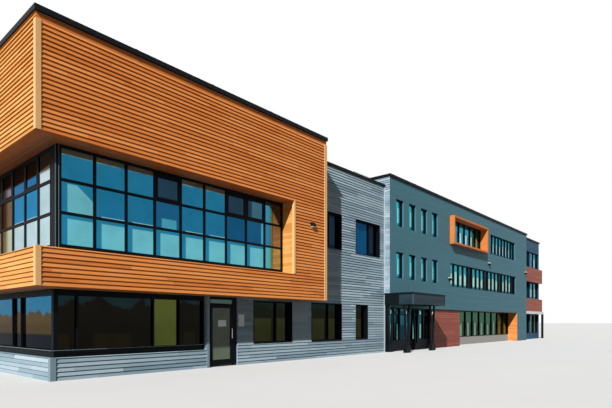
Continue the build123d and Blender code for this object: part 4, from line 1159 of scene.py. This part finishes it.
# %% The row tree
bar_row = new_tree("row_of_bars", {"Count": "Int", "First": "Vector", "Step": "Vector",
                                   "Size": "Vector", "Finish": "Material"})
given = add(bar_row, "NodeGroupInput").outputs
places = add(bar_row, "GeometryNodeMeshLine",
             {"Count": given["Count"], "Start Location": given["First"], "Offset": given["Step"]})
block = add(bar_row, "GeometryNodeMeshCube", {"Size": given["Size"]})
laid = add(bar_row, "GeometryNodeInstanceOnPoints",
           {"Points": places, "Instance": block.outputs["Mesh"]})
laid = add(bar_row, "GeometryNodeRealizeInstances", {"Geometry": laid})
laid = add(bar_row, "GeometryNodeSetMaterial", {"Geometry": laid, "Material": given["Finish"]})
hand_on(bar_row, given, laid)


def bars(name, slot, rows):
    """Lay rows of bars, each given as its count, first middle, step and size."""
    grow(name, slot, bar_row, [{"Count": count, "First": first, "Step": step, "Size": size,
                                "Finish": FINISHES[slot]} for count, first, step, size in rows])


# %% [markdown]
# The covers stand proud of a coping by the same small amount all round. The first one sits a length
# from the end, and none sits on the end itself.

# %% Coping joints
COPING_LENGTH = 3000 * MM
COVER = 120 * MM
COVER_PROUD = 5 * MM
rows = []
for node, along in (("long_copings", 0), ("cross_copings", 1)):
    for low, high in solids(node):
        count = int((high[along] - low[along]) / COPING_LENGTH)
        middle = (low + high) / 2
        middle[along] = low[along] + COPING_LENGTH
        size = high - low + Vector((2, 2, 2)) * COVER_PROUD
        size[along] = COVER
        step = Vector()
        step[along] = COPING_LENGTH
        if count > 1:
            rows.append((count - 1, tuple(middle), tuple(step), tuple(size)))
bars("coping_covers", "black_metal", rows)

# %% [markdown]
# The louvres of the roof plant fill part of its front and near side, below a plain top. They show as
# a row of level bars with gaps as high as the bars.

# %% Louvres
LOUVRE = 60 * MM
LOUVRED_HEIGHT = 0.6
LOUVRED_WIDTH = 0.8
PLAIN_TOP = 300 * MM
unit_low, unit_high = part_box("rooftop_unit")
count = int((unit_high.z - unit_low.z) * LOUVRED_HEIGHT / LOUVRE / 2)
middle = (unit_low + unit_high) / 2
width = (unit_high - unit_low) * LOUVRED_WIDTH
first_z = unit_high.z - PLAIN_TOP - count * 2 * LOUVRE + LOUVRE
step = (0.0, 0.0, 2 * LOUVRE)
bars("plant_louvres", "white_metal",
     [(count, (middle.x, unit_low.y, first_z), step, (width.x, 2 * COVER_PROUD, LOUVRE)),
      (count, (unit_low.x, middle.y, first_z), step, (2 * COVER_PROUD, width.y, LOUVRE))])
